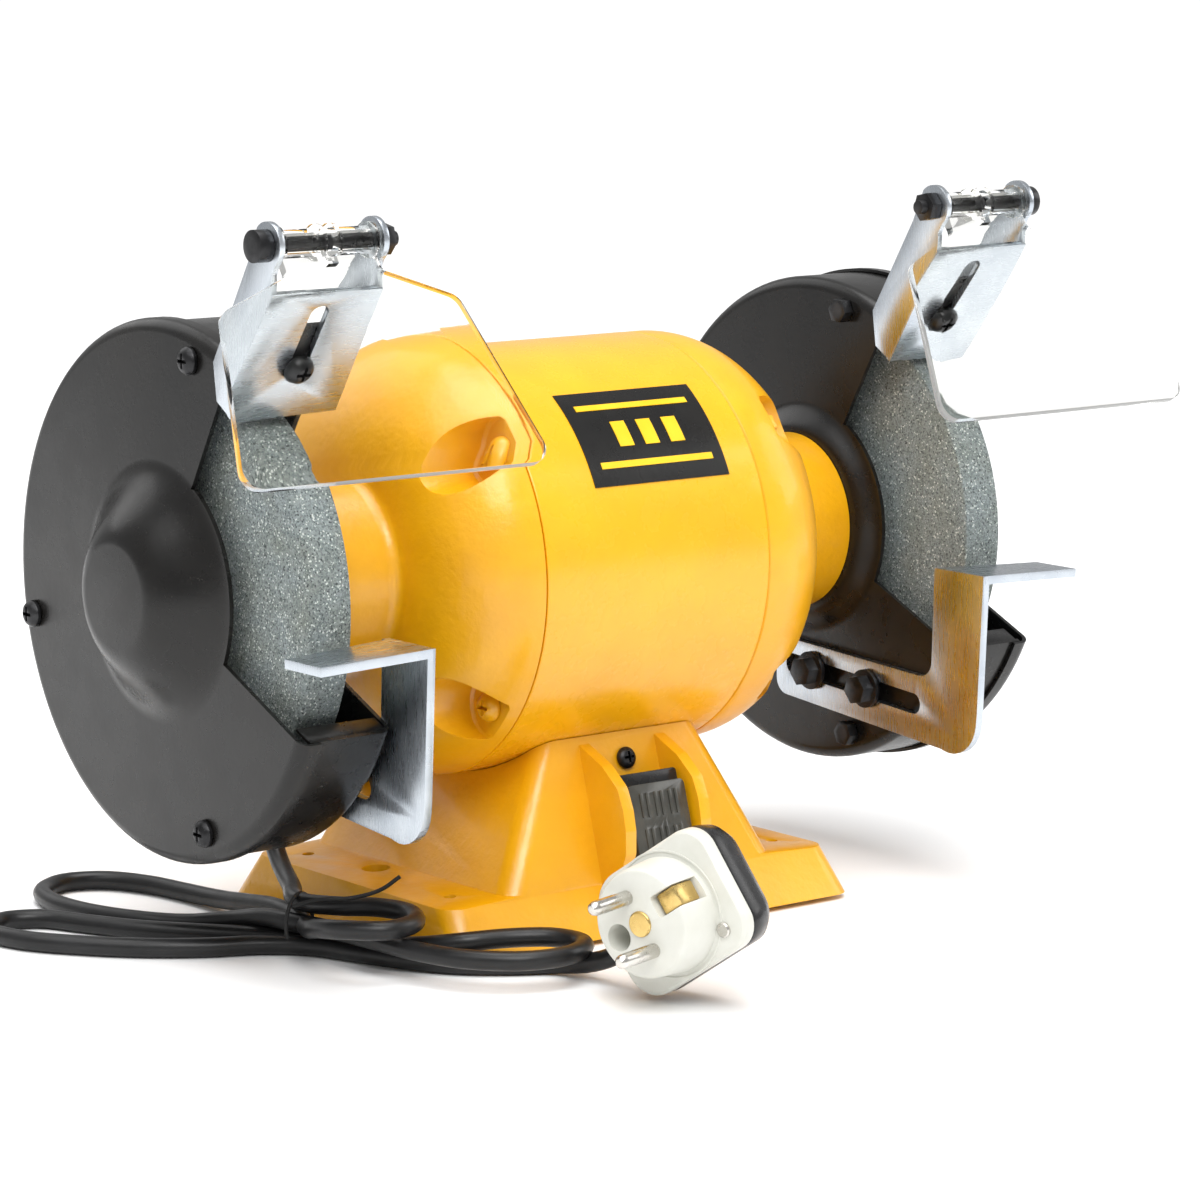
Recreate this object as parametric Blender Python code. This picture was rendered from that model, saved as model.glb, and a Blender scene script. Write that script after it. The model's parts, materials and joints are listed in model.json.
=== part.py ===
"""Double-ended bench grinder with 150 mm wheels, built from its separate pieces.

Frame: origin on the bench under the middle of the motor, +X along the spindle to the right wheel,
-Y to the operator, +Z up.  Numbers are millimetres; meshes are scaled to metres when they are made.
"""
import bpy
import bmesh
import math
from mathutils import Matrix, Vector

MM = 0.001
GAP = 0.3

# spindle line and wheels
SPINDLE_Z = 125.0
WHEEL_R = 75.0
WHEEL_IN, WHEEL_OUT = 133.0, 149.0
BORE_R = 6.35
THREAD_R = 5.7
SPINDLE_END = 168.0
FLANGE_R = 25.0

# motor
TUBE_R = 73.1
TUBE_WALL = 2.5
TUBE_LEFT, TUBE_RIGHT = 53.0, 43.0
SHOULDER_X = 50.0
SHOULDER_LENGTH = 34.0
NECK_R = 32.0
NECK_END = 115.7
BEARING_R = 15.9
BEARING_IN, BEARING_OUT = 96.3, 106.0
BOLT_Y, BOLT_Z = 48.5, 42.5
RECESS_R = 11.0
RECESS_FLOOR = 58.0
BOSS_REACH = 53.0

# wheel guards
GUARD_Y = -1.5
PAN_X = 121.5
SHEET = 1.5
BAND_R = 88.6
BAND_END = 153.8
COVER_X = 158.2
RIM_R = 90.0
DOME_R = 43.0
DOME_X = 175.0

# base
RIM_Z = 2.0
LEDGE_Z = 17.5
SADDLE_CLEAR = 0.3
WALL = 4.0
FRONT_TILT = math.atan2(13.9, 47.3)
PLATE_X, PLATE_Y, PLATE_GAUGE = 58.4, 60.4, 1.2
FOOT_X, FOOT_Y = 71.0, 42.0
POCKET_Z = 13.5
BENCH_HOLE_X, BENCH_HOLE_Y, BENCH_HOLE_R = 66.0, 8.0, 5.0
PANEL_SCREW_UP = 2.8

# tool rests
REST_X0, REST_X1 = 118.2, 121.2
REST_TOP = 115.7
SLOT_SLOPE = math.radians(4.8)
REST_BOLTS = ((-9.6, 70.0), (-39.5, 67.5))

# eye shields and their brackets
BRACKET_SCREW = (140.0, -57.9, 202.0)
BRACKET_UP = Vector((0.0, -0.529, 0.8486))
BRACKET_BACK = Vector((0.0, 0.8486, 0.529))
PIVOT_Y, PIVOT_Z = -70.3, 243.0
SHIELD_TILT = math.radians(33.0)
SHIELD_MID = 142.0

# cord
CORD_R = 3.3

SIDES = (("left", -1.0), ("right", 1.0))
NONE = (0.0, 0.0, 0.0)


# ---------------------------------------------------------------- materials

def material(name, colour, roughness, metallic=0.0, alpha=1.0):
    """A Principled material in linear colour."""
    mat = bpy.data.materials.new(name)
    mat.use_nodes = True
    shader = mat.node_tree.nodes["Principled BSDF"]
    shader.inputs["Base Color"].default_value = (*colour, 1.0)
    shader.inputs["Roughness"].default_value = roughness
    shader.inputs["Metallic"].default_value = metallic
    shader.inputs["Alpha"].default_value = alpha
    mat.diffuse_color = (*colour, alpha)
    return mat


def make_materials():
    """Every finish on the grinder."""
    return {
        "yellow_cast": material("yellow_cast", (0.90, 0.42, 0.01), 0.45),
        "yellow_tube": material("yellow_tube", (0.92, 0.44, 0.01), 0.35),
        "black_steel": material("black_steel", (0.015, 0.014, 0.012), 0.45, 0.3),
        "black_bolt": material("black_bolt", (0.02, 0.02, 0.02), 0.35, 0.8),
        "zinc_plate": material("zinc_plate", (0.30, 0.35, 0.42), 0.30, 1.0),
        "bright_steel": material("bright_steel", (0.60, 0.60, 0.60), 0.25, 1.0),
        "grinding_stone": material("grinding_stone", (0.17, 0.20, 0.20), 0.95),
        "clear_plastic": material("clear_plastic", (0.90, 0.90, 0.86), 0.05, 0.0, 0.3),
        "lamination": material("lamination", (0.30, 0.30, 0.32), 0.5, 1.0),
        "capacitor_skin": material("capacitor_skin", (0.50, 0.50, 0.52), 0.4),
        "black_plastic": material("black_plastic", (0.015, 0.015, 0.015), 0.35),
        "boot_plastic": material("boot_plastic", (0.20, 0.20, 0.18), 0.3),
        "rubber": material("rubber", (0.02, 0.02, 0.02), 0.8),
        "cord_jacket": material("cord_jacket", (0.012, 0.012, 0.012), 0.35),
        "plug_white": material("plug_white", (0.80, 0.80, 0.72), 0.35),
    }


# ---------------------------------------------------------------- mesh tools

def place(bm, name, mat, matrix=None):
    """Turn a bmesh in millimetres into a named object in metres."""
    if matrix is not None:
        bmesh.ops.transform(bm, matrix=matrix, verts=bm.verts)
    bmesh.ops.recalc_face_normals(bm, faces=bm.faces)
    bmesh.ops.scale(bm, vec=(MM, MM, MM), verts=bm.verts)
    mesh = bpy.data.meshes.new(name)
    bm.to_mesh(mesh)
    bm.free()
    mesh.shade_smooth()
    mesh.set_sharp_from_angle(angle=math.radians(30.0))
    obj = bpy.data.objects.new(name, mesh)
    if mat is not None:
        mesh.materials.append(mat)
    bpy.context.scene.collection.objects.link(obj)
    return obj


def add_turned(bm, profile, steps, closed=True, shift=NONE, phase=0.0):
    """Turn (x, radius[, offset in y]) points about the X axis; radius 0 makes a pole."""
    rings = []
    for point in profile:
        x, radius = point[0], point[1]
        y = point[2] if len(point) > 2 else 0.0
        if radius < 1e-6:
            rings.append([bm.verts.new((x + shift[0], y + shift[1], shift[2]))])
            continue
        ring = []
        for i in range(steps):
            angle = 2.0 * math.pi * i / steps + phase
            ring.append(bm.verts.new((x + shift[0], y + radius * math.cos(angle) + shift[1],
                                      radius * math.sin(angle) + shift[2])))
        rings.append(ring)
    pairs = list(zip(rings, rings[1:]))
    if closed:
        pairs.append((rings[-1], rings[0]))
    for a, b in pairs:
        for i in range(steps):
            j = (i + 1) % steps
            if len(a) == 1 and len(b) == 1:
                continue
            if len(a) == 1:
                bm.faces.new((a[0], b[i], b[j]))
            elif len(b) == 1:
                bm.faces.new((a[i], b[0], a[j]))
            else:
                bm.faces.new((a[i], b[i], b[j], a[j]))


def turned(name, mat, profile, steps, centre=NONE, side=1.0, closed=True, matrix=None, phase=0.0):
    """A turned piece whose axis runs along X through centre; side -1 mirrors it to the left."""
    bm = bmesh.new()
    add_turned(bm, [(p[0] * side, *p[1:]) for p in profile], steps, closed, centre, phase)
    return place(bm, name, mat, matrix)


def add_loft(bm, sections):
    """Skin a stack of outlines, each a list of (x, y, z), and cap both ends."""
    rings = [[bm.verts.new(p) for p in section] for section in sections]
    for a, b in zip(rings, rings[1:]):
        for i in range(len(a)):
            j = (i + 1) % len(a)
            bm.faces.new((a[i], a[j], b[j], b[i]))
    bm.faces.new(rings[0])
    bm.faces.new(list(reversed(rings[-1])))


def sheet(name, mat, outline, x0, x1, matrix=None):
    """A flat piece with a (y, z) outline, from x0 to x1."""
    bm = bmesh.new()
    add_loft(bm, [[(x0, y, z) for y, z in outline], [(x1, y, z) for y, z in outline]])
    return place(bm, name, mat, matrix)


def rounded(corners, steps=4):
    """An outline from (u, v, radius) corners, each turned into an arc that meets its sides."""
    points = []
    count = len(corners)
    for i, (u, v, radius) in enumerate(corners):
        here = Vector((u, v))
        if radius <= 0.0:
            points.append((u, v))
            continue
        before = (Vector(corners[i - 1][:2]) - here).normalized()
        after = (Vector(corners[(i + 1) % count][:2]) - here).normalized()
        half = before.angle(after) / 2.0
        reach = radius / math.tan(half)
        centre = here + (before + after).normalized() * (radius / math.sin(half))
        start = here + before * reach - centre
        end = here + after * reach - centre
        turn = math.atan2(start.x * end.y - start.y * end.x, start.dot(end))
        for k in range(steps + 1):
            arm = Matrix.Rotation(turn * k / steps, 2) @ start
            points.append((centre.x + arm.x, centre.y + arm.y))
    return points


def arc(centre, radius, start, end, steps):
    """Points on an arc, angles in degrees."""
    points = []
    for i in range(steps + 1):
        angle = math.radians(start + (end - start) * i / steps)
        points.append((centre[0] + radius * math.cos(angle), centre[1] + radius * math.sin(angle)))
    return points


def slot(start, end, radius, steps=6):
    """A slot outline with round ends."""
    run = math.degrees(math.atan2(end[1] - start[1], end[0] - start[0]))
    return arc(start, radius, run + 90, run + 270, steps) + arc(end, radius, run - 90, run + 90, steps)


def hide(cutter):
    """Mark an object as a guide that is not part of the grinder."""
    cutter.hide_render = True
    cutter.display_type = "WIRE"


def combine(obj, tool, operation="DIFFERENCE"):
    """Cut a tool from an object, or join it to the object."""
    hide(tool)
    boolean = obj.modifiers.new(tool.name, "BOOLEAN")
    boolean.operation = operation
    boolean.solver = "EXACT"
    boolean.object = tool


def hole(obj, name, x0, x1, radius, y, z, side=1.0, steps=10):
    """A round hole along X."""
    profile = [(x0, 0.0), (x0, radius), (x1, radius), (x1, 0.0)]
    combine(obj, turned(name, None, profile, steps, (0.0, y, z), side, closed=False, phase=0.1))


def local_frame(origin, x_axis, y_axis, z_axis):
    """The matrix that carries local axes to world axes at origin."""
    rotation = Matrix((x_axis, y_axis, z_axis)).transposed().to_4x4()
    return Matrix.Translation(origin) @ rotation


def joint_empty(name, location):
    """An empty on a joint's axis."""
    empty = bpy.data.objects.new(name, None)
    empty.location = Vector(location) * MM
    bpy.context.scene.collection.objects.link(empty)
    return empty


def attach(pieces, empty, parent=None):
    """Parent pieces to the empty on their joint's axis, where they stand."""
    bpy.context.view_layer.update()
    if parent is not None:
        empty.parent = parent
        empty.matrix_parent_inverse = parent.matrix_world.inverted()
        bpy.context.view_layer.update()
    for piece in pieces:
        piece.parent = empty
        piece.matrix_parent_inverse = empty.matrix_world.inverted()


def bolt_profile(head_x, head_r, head_length, shaft_r, length, nut_r, nut_length):
    """A bolt along +X with the nut on its end, as one turned shape."""
    end = head_x + head_length + length
    return [(head_x, 0.0), (head_x, head_r), (head_x + head_length, head_r),
            (head_x + head_length, shaft_r), (end - nut_length, shaft_r), (end - nut_length, nut_r),
            (end, nut_r), (end, 0.0)]


# ---------------------------------------------------------------- base

def rectangle(half_x, half_y, z, radius):
    """A rounded rectangle at height z."""
    corners = [(half_x, half_y, radius), (-half_x, half_y, radius),
               (-half_x, -half_y, radius), (half_x, -half_y, radius)]
    return [(x, y, z) for x, y in rounded(corners, 2)]


def on_front(right, up, out):
    """A point on the base's sloping front, from the middle of the switch's upper edge."""
    return front_frame() @ Vector((right, up, out))


def front_frame():
    """Local x right, y up the sloping front, z out of it."""
    up = Vector((0.0, math.sin(FRONT_TILT), math.cos(FRONT_TILT)))
    out = Vector((0.0, -math.cos(FRONT_TILT), math.sin(FRONT_TILT)))
    return local_frame(Vector((0.0, -48.1, SPINDLE_Z - 70.0)), Vector((1.0, 0.0, 0.0)), up, out)


def panel_screw_frame():
    """Local x out of the sloping front at the screw above the switch."""
    turn = Matrix.Rotation(-math.pi / 2, 4, "Y")
    return front_frame() @ Matrix.Translation((0.0, PANEL_SCREW_UP, 0.0)) @ turn


def front_block(name, mat, half_x, low, high, inner, outer):
    """A block on the sloping front: low to high along it, inner to outer out of it."""
    bm = bmesh.new()
    corners = [(-half_x, low), (half_x, low), (half_x, high), (-half_x, high)]
    add_loft(bm, [[(x, v, inner) for x, v in corners], [(x, v, outer) for x, v in corners]])
    return place(bm, name, mat, front_frame())


def make_base(mats):
    """The cast base: a skirted foot, a tapering pedestal, the two switch cheeks and its saddle."""
    bm = bmesh.new()
    add_loft(bm, [rectangle(86.5, 69.0, RIM_Z, 8.0), rectangle(83.5, 58.3, LEDGE_Z, 8.0),
                  rectangle(58.7, 58.2, LEDGE_Z + 1.2, 8.0), rectangle(32.3, 43.7, 70.0, 6.0)])
    base = place(bm, "base_casting", mats["yellow_cast"])

    bm = bmesh.new()
    add_loft(bm, [rectangle(54.3, 58.0, RIM_Z - 3.0, 6.0), rectangle(54.7, 53.9, LEDGE_Z - 3.0, 6.0),
                  rectangle(39.5, 45.6, 46.0, 6.0)])
    combine(base, place(bm, "base_hollow", None))
    bm = bmesh.new()
    add_loft(bm, [rectangle(PLATE_X + GAP, PLATE_Y + GAP, RIM_Z - 2.0, 6.0),
                  rectangle(PLATE_X + GAP, PLATE_Y + GAP, RIM_Z + PLATE_GAUGE + GAP, 6.0)])
    combine(base, place(bm, "plate_recess", None))
    for label, side in SIDES:
        low = [(x + 71.25 * side, y, z) for x, y, z in rectangle(11.25, 64.0, RIM_Z - 3.0, 5.0)]
        high = [(x + 69.75 * side, y, z) for x, y, z in rectangle(9.75, 54.0, POCKET_Z, 5.0)]
        bm = bmesh.new()
        add_loft(bm, [low, high])
        combine(base, place(bm, "ledge_pocket_" + label, None))

    for label, side in SIDES:
        cheek = [(-44.5, 64.5), (-58.0, 58.8), (-66.5, 52.3), (-69.8, 45.0), (-71.3, 38.0), (-71.3, 30.0),
                 (-68.5, 23.0), (-61.0, 17.6), (-54.0, 18.6), (-44.0, 52.0), (-41.6, 63.5)]
        body = sheet("cheek_" + label, None, cheek, 14.2 * side, 18.7 * side)
        combine(base, body, "UNION")

    saddle = turned("saddle", None, [(-80.0, 0.0), (-80.0, TUBE_R + SADDLE_CLEAR),
                                     (80.0, TUBE_R + SADDLE_CLEAR), (80.0, 0.0)], 40,
                    (0.0, 0.0, SPINDLE_Z), closed=False)
    combine(base, saddle)

    combine(base, front_block("switch_window", None, 13.3, -37.3, -2.9, -16.0, 3.0))
    screw_hole = [(-12.0, 0.0), (-12.0, 2.1), (3.0, 2.1), (3.0, 0.0)]
    turn = panel_screw_frame()
    combine(base, turned("panel_screw_hole", None, screw_hole, 12, closed=False, matrix=turn))
    hole(base, "cord_hole", 40.0, 60.0, 5.2, 43.0, 45.0, -1.0)

    upright = Matrix.Rotation(-math.pi / 2, 4, "Y")
    wells = [(FOOT_X * side, y, 2.2) for _, side in SIDES for y in (-FOOT_Y, FOOT_Y)]
    wells += [(BENCH_HOLE_X * side, BENCH_HOLE_Y, BENCH_HOLE_R) for _, side in SIDES]
    for i, (x, y, radius) in enumerate(wells):
        profile = [(8.0, 0.0), (8.0, radius), (24.0, radius), (24.0, 0.0)]
        turn = Matrix.Translation((x, y, 0.0)) @ upright
        combine(base, turned(f"ledge_hole_{i}", None, profile, 12, closed=False, matrix=turn))
    profile = [(40.0, 0.0), (40.0, 8.0), (60.0, 8.0), (60.0, 0.0)]
    combine(base, turned("wire_hole", None, profile, 12, closed=False, matrix=upright))
    return base


def make_base_fittings(mats):
    """The bottom plate, the four feet under the ledge and the capacitor that lies on the plate."""
    bm = bmesh.new()
    add_loft(bm, [rectangle(PLATE_X, PLATE_Y, RIM_Z, 6.0),
                  rectangle(PLATE_X, PLATE_Y, RIM_Z + PLATE_GAUGE, 6.0)])
    place(bm, "base_cover_plate", mats["black_steel"])
    upright = Matrix.Rotation(-math.pi / 2, 4, "Y")
    for end, y in (("front", -FOOT_Y), ("rear", FOOT_Y)):
        for label, side in SIDES:
            turn = Matrix.Translation((FOOT_X * side, y, 0.0)) @ upright
            top, stem = POCKET_Z - GAP, POCKET_Z + 3.0
            profile = [(0.0, 0.0), (0.0, 9.0), (3.0, 9.3), (top, 7.8), (top, 1.9), (stem, 1.9), (stem, 0.0)]
            turned(f"rubber_foot_{end}_{label}", mats["rubber"], profile, 12, closed=False, matrix=turn)
    profile = [(-28.0, 0.0), (-28.0, 13.0), (-27.0, 14.0), (27.0, 14.0), (28.0, 13.0), (28.0, 0.0)]
    turned("run_capacitor", mats["capacitor_skin"], profile, 20, (0.0, 20.0, RIM_Z + 15.6), closed=False)


# ---------------------------------------------------------------- motor

def make_motor_shell(mats):
    """The tube and the two end bells with their bolt recesses."""
    inner = TUBE_R - TUBE_WALL
    profile = [(-TUBE_LEFT + GAP, TUBE_R), (TUBE_RIGHT - GAP, TUBE_R),
               (TUBE_RIGHT - GAP, inner), (-TUBE_LEFT + GAP, inner)]
    tube = turned("motor_housing", mats["yellow_tube"], profile, 40, (0.0, 0.0, SPINDLE_Z))
    well = [(40.0, 0.0), (40.0, 8.0), (60.0, 8.0), (60.0, 0.0)]
    upright = Matrix.Rotation(-math.pi / 2, 4, "Y")
    combine(tube, turned("tube_wire_hole", None, well, 12, closed=False, matrix=upright))

    for (label, side), mouth in zip(SIDES, (TUBE_LEFT, TUBE_RIGHT)):
        drop = TUBE_R - NECK_R - 3.0
        shoulder = []
        for i in range(6):
            part = math.sin(math.pi / 2 * i / 5)
            shoulder.append((SHOULDER_X + SHOULDER_LENGTH * part,
                             TUBE_R - drop + drop * math.sqrt(max(0.0, 1.0 - part * part))))
        outline = [(mouth, 0.0), (mouth, TUBE_R)] + [p for p in shoulder if p[0] > mouth + 0.5]
        outline += [(89.0, NECK_R), (NECK_END, NECK_R), (NECK_END, 10.5), (BEARING_OUT + GAP, 10.5),
                    (BEARING_OUT + GAP, BEARING_R + GAP), (BEARING_IN - 2.0, BEARING_R + GAP),
                    (BEARING_IN - 2.0, 0.0)]
        bell = turned("end_bell_" + label, mats["yellow_cast"], outline, 28, (0.0, 0.0, SPINDLE_Z), side,
                      closed=False)
        hollow = [(mouth - 2.0, 0.0), (mouth - 2.0, TUBE_R - WALL), (RECESS_FLOOR - 5.0, TUBE_R - WALL),
                  (RECESS_FLOOR - 4.0, BOSS_REACH), (76.0, 42.0), (81.0, 25.0),
                  (BEARING_IN - 1.0, 20.0), (BEARING_IN - 1.0, 0.0)]
        cavity = turned("bell_hollow_" + label, None, hollow, 20, (0.0, 0.0, SPINDLE_Z), side, closed=False)
        combine(bell, cavity)
        cuts = bmesh.new()
        for y in (-BOLT_Y, BOLT_Y):
            for z in (-BOLT_Z, BOLT_Z):
                recess = [(SHOULDER_X - 1.0, 0.0), (SHOULDER_X - 1.0, 2.9), (RECESS_FLOOR, 2.9),
                          (RECESS_FLOOR, RECESS_R), (95.0, RECESS_R), (95.0, 0.0)]
                add_turned(cuts, [(x * side, r) for x, r in recess], 10, False, (0.0, y, SPINDLE_Z + z))
        combine(bell, place(cuts, "bell_recesses_" + label, None))

        ring = [(BEARING_IN, BEARING_R), (BEARING_OUT, BEARING_R), (BEARING_OUT, THREAD_R + GAP),
                (BEARING_IN, THREAD_R + GAP)]
        turned("bearing_" + label, mats["bright_steel"], ring, 16, (0.0, 0.0, SPINDLE_Z), side)

    for end, y in (("front", -BOLT_Y), ("rear", BOLT_Y)):
        for level, z in (("upper", BOLT_Z), ("lower", -BOLT_Z)):
            seat = RECESS_FLOOR + GAP
            profile = bolt_profile(-seat - 5.0, 5.0, 5.0, 2.5, 2.0 * seat + 4.5, 5.0, 4.5)
            turned(f"housing_bolt_{level}_{end}", mats["black_bolt"], profile, 8, (0.0, y, SPINDLE_Z + z),
                   closed=False)


def make_stator(mats):
    """The laminated stack with notches for the long bolts, and its windings."""
    bolt_angle = math.degrees(math.atan2(BOLT_Z, BOLT_Y))
    middles = (bolt_angle, 180.0 - bolt_angle, 180.0 + bolt_angle, 360.0 - bolt_angle)
    steps = 40
    outer = []
    for i in range(steps):
        angle = 360.0 * i / steps
        near = min(abs((angle - m + 180.0) % 360.0 - 180.0) for m in middles)
        outer.append((angle, 59.5 if near < 7.0 else TUBE_R - TUBE_WALL - GAP))
    bm = bmesh.new()
    rings = []
    for x, bore in ((-30.0, False), (30.0, False), (30.0, True), (-30.0, True)):
        ring = []
        for angle, radius in outer:
            reach = 36.6 if bore else radius
            ring.append(bm.verts.new((x, reach * math.cos(math.radians(angle)),
                                      SPINDLE_Z + reach * math.sin(math.radians(angle)))))
        rings.append(ring)
    for a, b in zip(rings, rings[1:] + rings[:1]):
        for i in range(steps):
            j = (i + 1) % steps
            bm.faces.new((a[i], b[i], b[j], a[j]))
    stack = place(bm, "stator_core", mats["lamination"])
    coil = [(-40.0, 43.0), (-40.0, 55.0), (40.0, 55.0), (40.0, 43.0)]
    combine(stack, turned("winding", None, coil, 20, (0.0, 0.0, SPINDLE_Z), phase=0.05), "UNION")


def make_rotor(mats):
    """Everything that turns with the spindle."""
    centre = (0.0, 0.0, SPINDLE_Z)
    half = [(0.0, 8.0), (BEARING_IN - 1.0, 8.0), (BEARING_IN - 1.0, THREAD_R),
            (SPINDLE_END - 1.0, THREAD_R), (SPINDLE_END, THREAD_R - 1.0), (SPINDLE_END, 0.0)]
    profile = [(-x, r) for x, r in reversed(half[1:])] + half[1:]
    pieces = [turned("spindle", mats["bright_steel"], profile, 16, centre, closed=False)]
    core = [(-36.0, 8.0 + GAP), (-36.0, 30.0), (-32.0, 36.0), (32.0, 36.0), (36.0, 30.0),
            (36.0, 8.0 + GAP)]
    pieces.append(turned("rotor_core", mats["lamination"], core, 20, centre))
    for label, side in SIDES:
        stone = [(WHEEL_IN, BORE_R), (WHEEL_IN, WHEEL_R), (WHEEL_OUT, WHEEL_R), (WHEEL_OUT, BORE_R)]
        pieces.append(turned("grinding_wheel_" + label, mats["grinding_stone"], stone, 36, centre, side))
        bore = THREAD_R + GAP
        hub = [(BEARING_OUT + GAP, bore), (BEARING_OUT + GAP, 9.0), (126.5, 9.0), (126.5, FLANGE_R - 1.0),
               (WHEEL_IN - GAP, FLANGE_R), (WHEEL_IN - GAP, bore)]
        pieces.append(turned("wheel_flange_inner_" + label, mats["bright_steel"], hub, 16, centre, side))
        disc = [(WHEEL_OUT + GAP, bore), (WHEEL_OUT + GAP, FLANGE_R), (154.5, FLANGE_R - 1.5),
                (154.5, bore)]
        pieces.append(turned("wheel_flange_outer_" + label, mats["bright_steel"], disc, 16, centre, side))
        hex_bore = bore / math.cos(math.pi / 6)
        nut = [(154.5 + GAP, hex_bore), (154.5 + GAP, 10.5), (163.5, 10.5), (164.5, 9.0),
               (164.5, hex_bore)]
        pieces.append(turned("spindle_nut_" + label, mats["bright_steel"], nut, 6, centre, side))
    attach(pieces, joint_empty("spindle_axis", centre))


# ---------------------------------------------------------------- guards

def guard_opening():
    """The notch in both guard plates that bares the front of the wheel."""
    start = math.degrees(math.atan2(36.4, -21.3))
    end = 360.0 + math.degrees(math.atan2(-18.5, -38.4))
    notch = arc((0.0, 0.0), DOME_R, start, end, 10)
    notch = [(-45.5, 78.5), (-21.3, 36.4)] + notch[1:]
    notch += [(-78.4, -36.9), (-130.0, -60.6), (-130.0, 140.0), (-81.0, 140.0)]
    return [(y, z + SPINDLE_Z) for y, z in notch]


def bracket_outline(points):
    """(up, back) points beside the bracket screw, as world (y, z)."""
    world = []
    for up, back in points:
        spot = Vector(BRACKET_SCREW) + BRACKET_UP * up + BRACKET_BACK * back
        world.append((spot.y, spot.z))
    return world


def make_guards(mats):
    """On each side a pan that is fixed to the motor's neck, and a cover screwed over it."""
    for label, side in SIDES:
        centre = (0.0, 0.0, SPINDLE_Z)
        off = GUARD_Y
        pan = [(NECK_END + GAP, 14.0), (NECK_END + GAP, 34.0), (PAN_X, 41.5), (PAN_X, BAND_R - 3.5, off),
               (PAN_X + 3.5, BAND_R, off), (BAND_END, BAND_R, off), (BAND_END, BAND_R - SHEET, off),
               (PAN_X + 4.1, BAND_R - SHEET, off), (PAN_X + SHEET, BAND_R - 4.1, off),
               (PAN_X + SHEET, 42.1), (NECK_END + GAP + SHEET, 34.6), (NECK_END + GAP + SHEET, 14.0)]
        guard = turned("inner_guard_" + label, mats["black_steel"], pan, 28, centre, side)
        outline = guard_opening()
        combine(guard, sheet("pan_notch_" + label, None, outline, 112.0 * side, 180.0 * side))
        tongue = bracket_outline([(-7.95, 13.2), (-7.95, 2.3), (14.0, 2.3), (14.0, 3.8), (-6.45, 3.8),
                                  (-6.45, 12.4)])
        combine(guard, sheet("tongue_" + label, None, tongue, 127.0 * side, 149.8 * side), "UNION")
        turn = bracket_screw_frame(side)
        profile = [(0.0, 0.0), (0.0, 2.9), (6.0, 2.9), (6.0, 0.0)]
        combine(guard, turned("tongue_hole_" + label, None, profile, 10, closed=False, matrix=turn))
        for i, (y, z) in enumerate(REST_BOLTS):
            hole(guard, f"rest_hole_{label}_{i}", 119.0, 126.0, 3.3, y, z, side)

        skin = COVER_X - SHEET
        shell = RIM_R - 1.1
        dome = [(0.0, 20.0), (3.0, 27.5), (13.0, 36.5)]
        cover = [(DOME_X, 0.0)] + [(DOME_X - x, r) for x, r in dome] + [(COVER_X, DOME_R + 1.0)]
        cover += [(COVER_X, RIM_R - 3.5, off), (COVER_X - 3.5, RIM_R, off), (COVER_X - 8.0, RIM_R, off),
                  (COVER_X - 8.0, shell, off), (COVER_X - 3.9, shell, off), (skin, RIM_R - 4.0, off),
                  (skin, DOME_R + 0.4)]
        cover += [(DOME_X - x - SHEET, r - 0.6) for x, r in reversed(dome)] + [(DOME_X - SHEET, 0.0)]
        plate = turned("guard_cover_" + label, mats["black_steel"], cover, 28, centre, side, closed=False)
        combine(plate, sheet("cover_notch_" + label, None, outline, 112.0 * side, 180.0 * side))

        for i, (y, z) in enumerate(((-22.0, 78.0), (78.0, -17.0), (-27.0, -76.0))):
            z += SPINDLE_Z
            hole(guard, f"pan_screw_hole_{label}_{i}", 119.0, 126.0, 2.8, y, z, side)
            hole(plate, f"cover_screw_hole_{label}_{i}", 150.0, 162.0, 2.8, y, z, side)
            grip = COVER_X - PAN_X + 2 * GAP
            screw = bolt_profile(-(COVER_X + GAP + 3.2), 4.6, 3.2, 2.4, grip + 4.0, 4.6, 4.0)
            turned(f"cover_screw_{label}_{i + 1}", mats["black_bolt"], screw, 8, (0.0, y, z), -side,
                   closed=False)


# ---------------------------------------------------------------- tool rests

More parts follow.
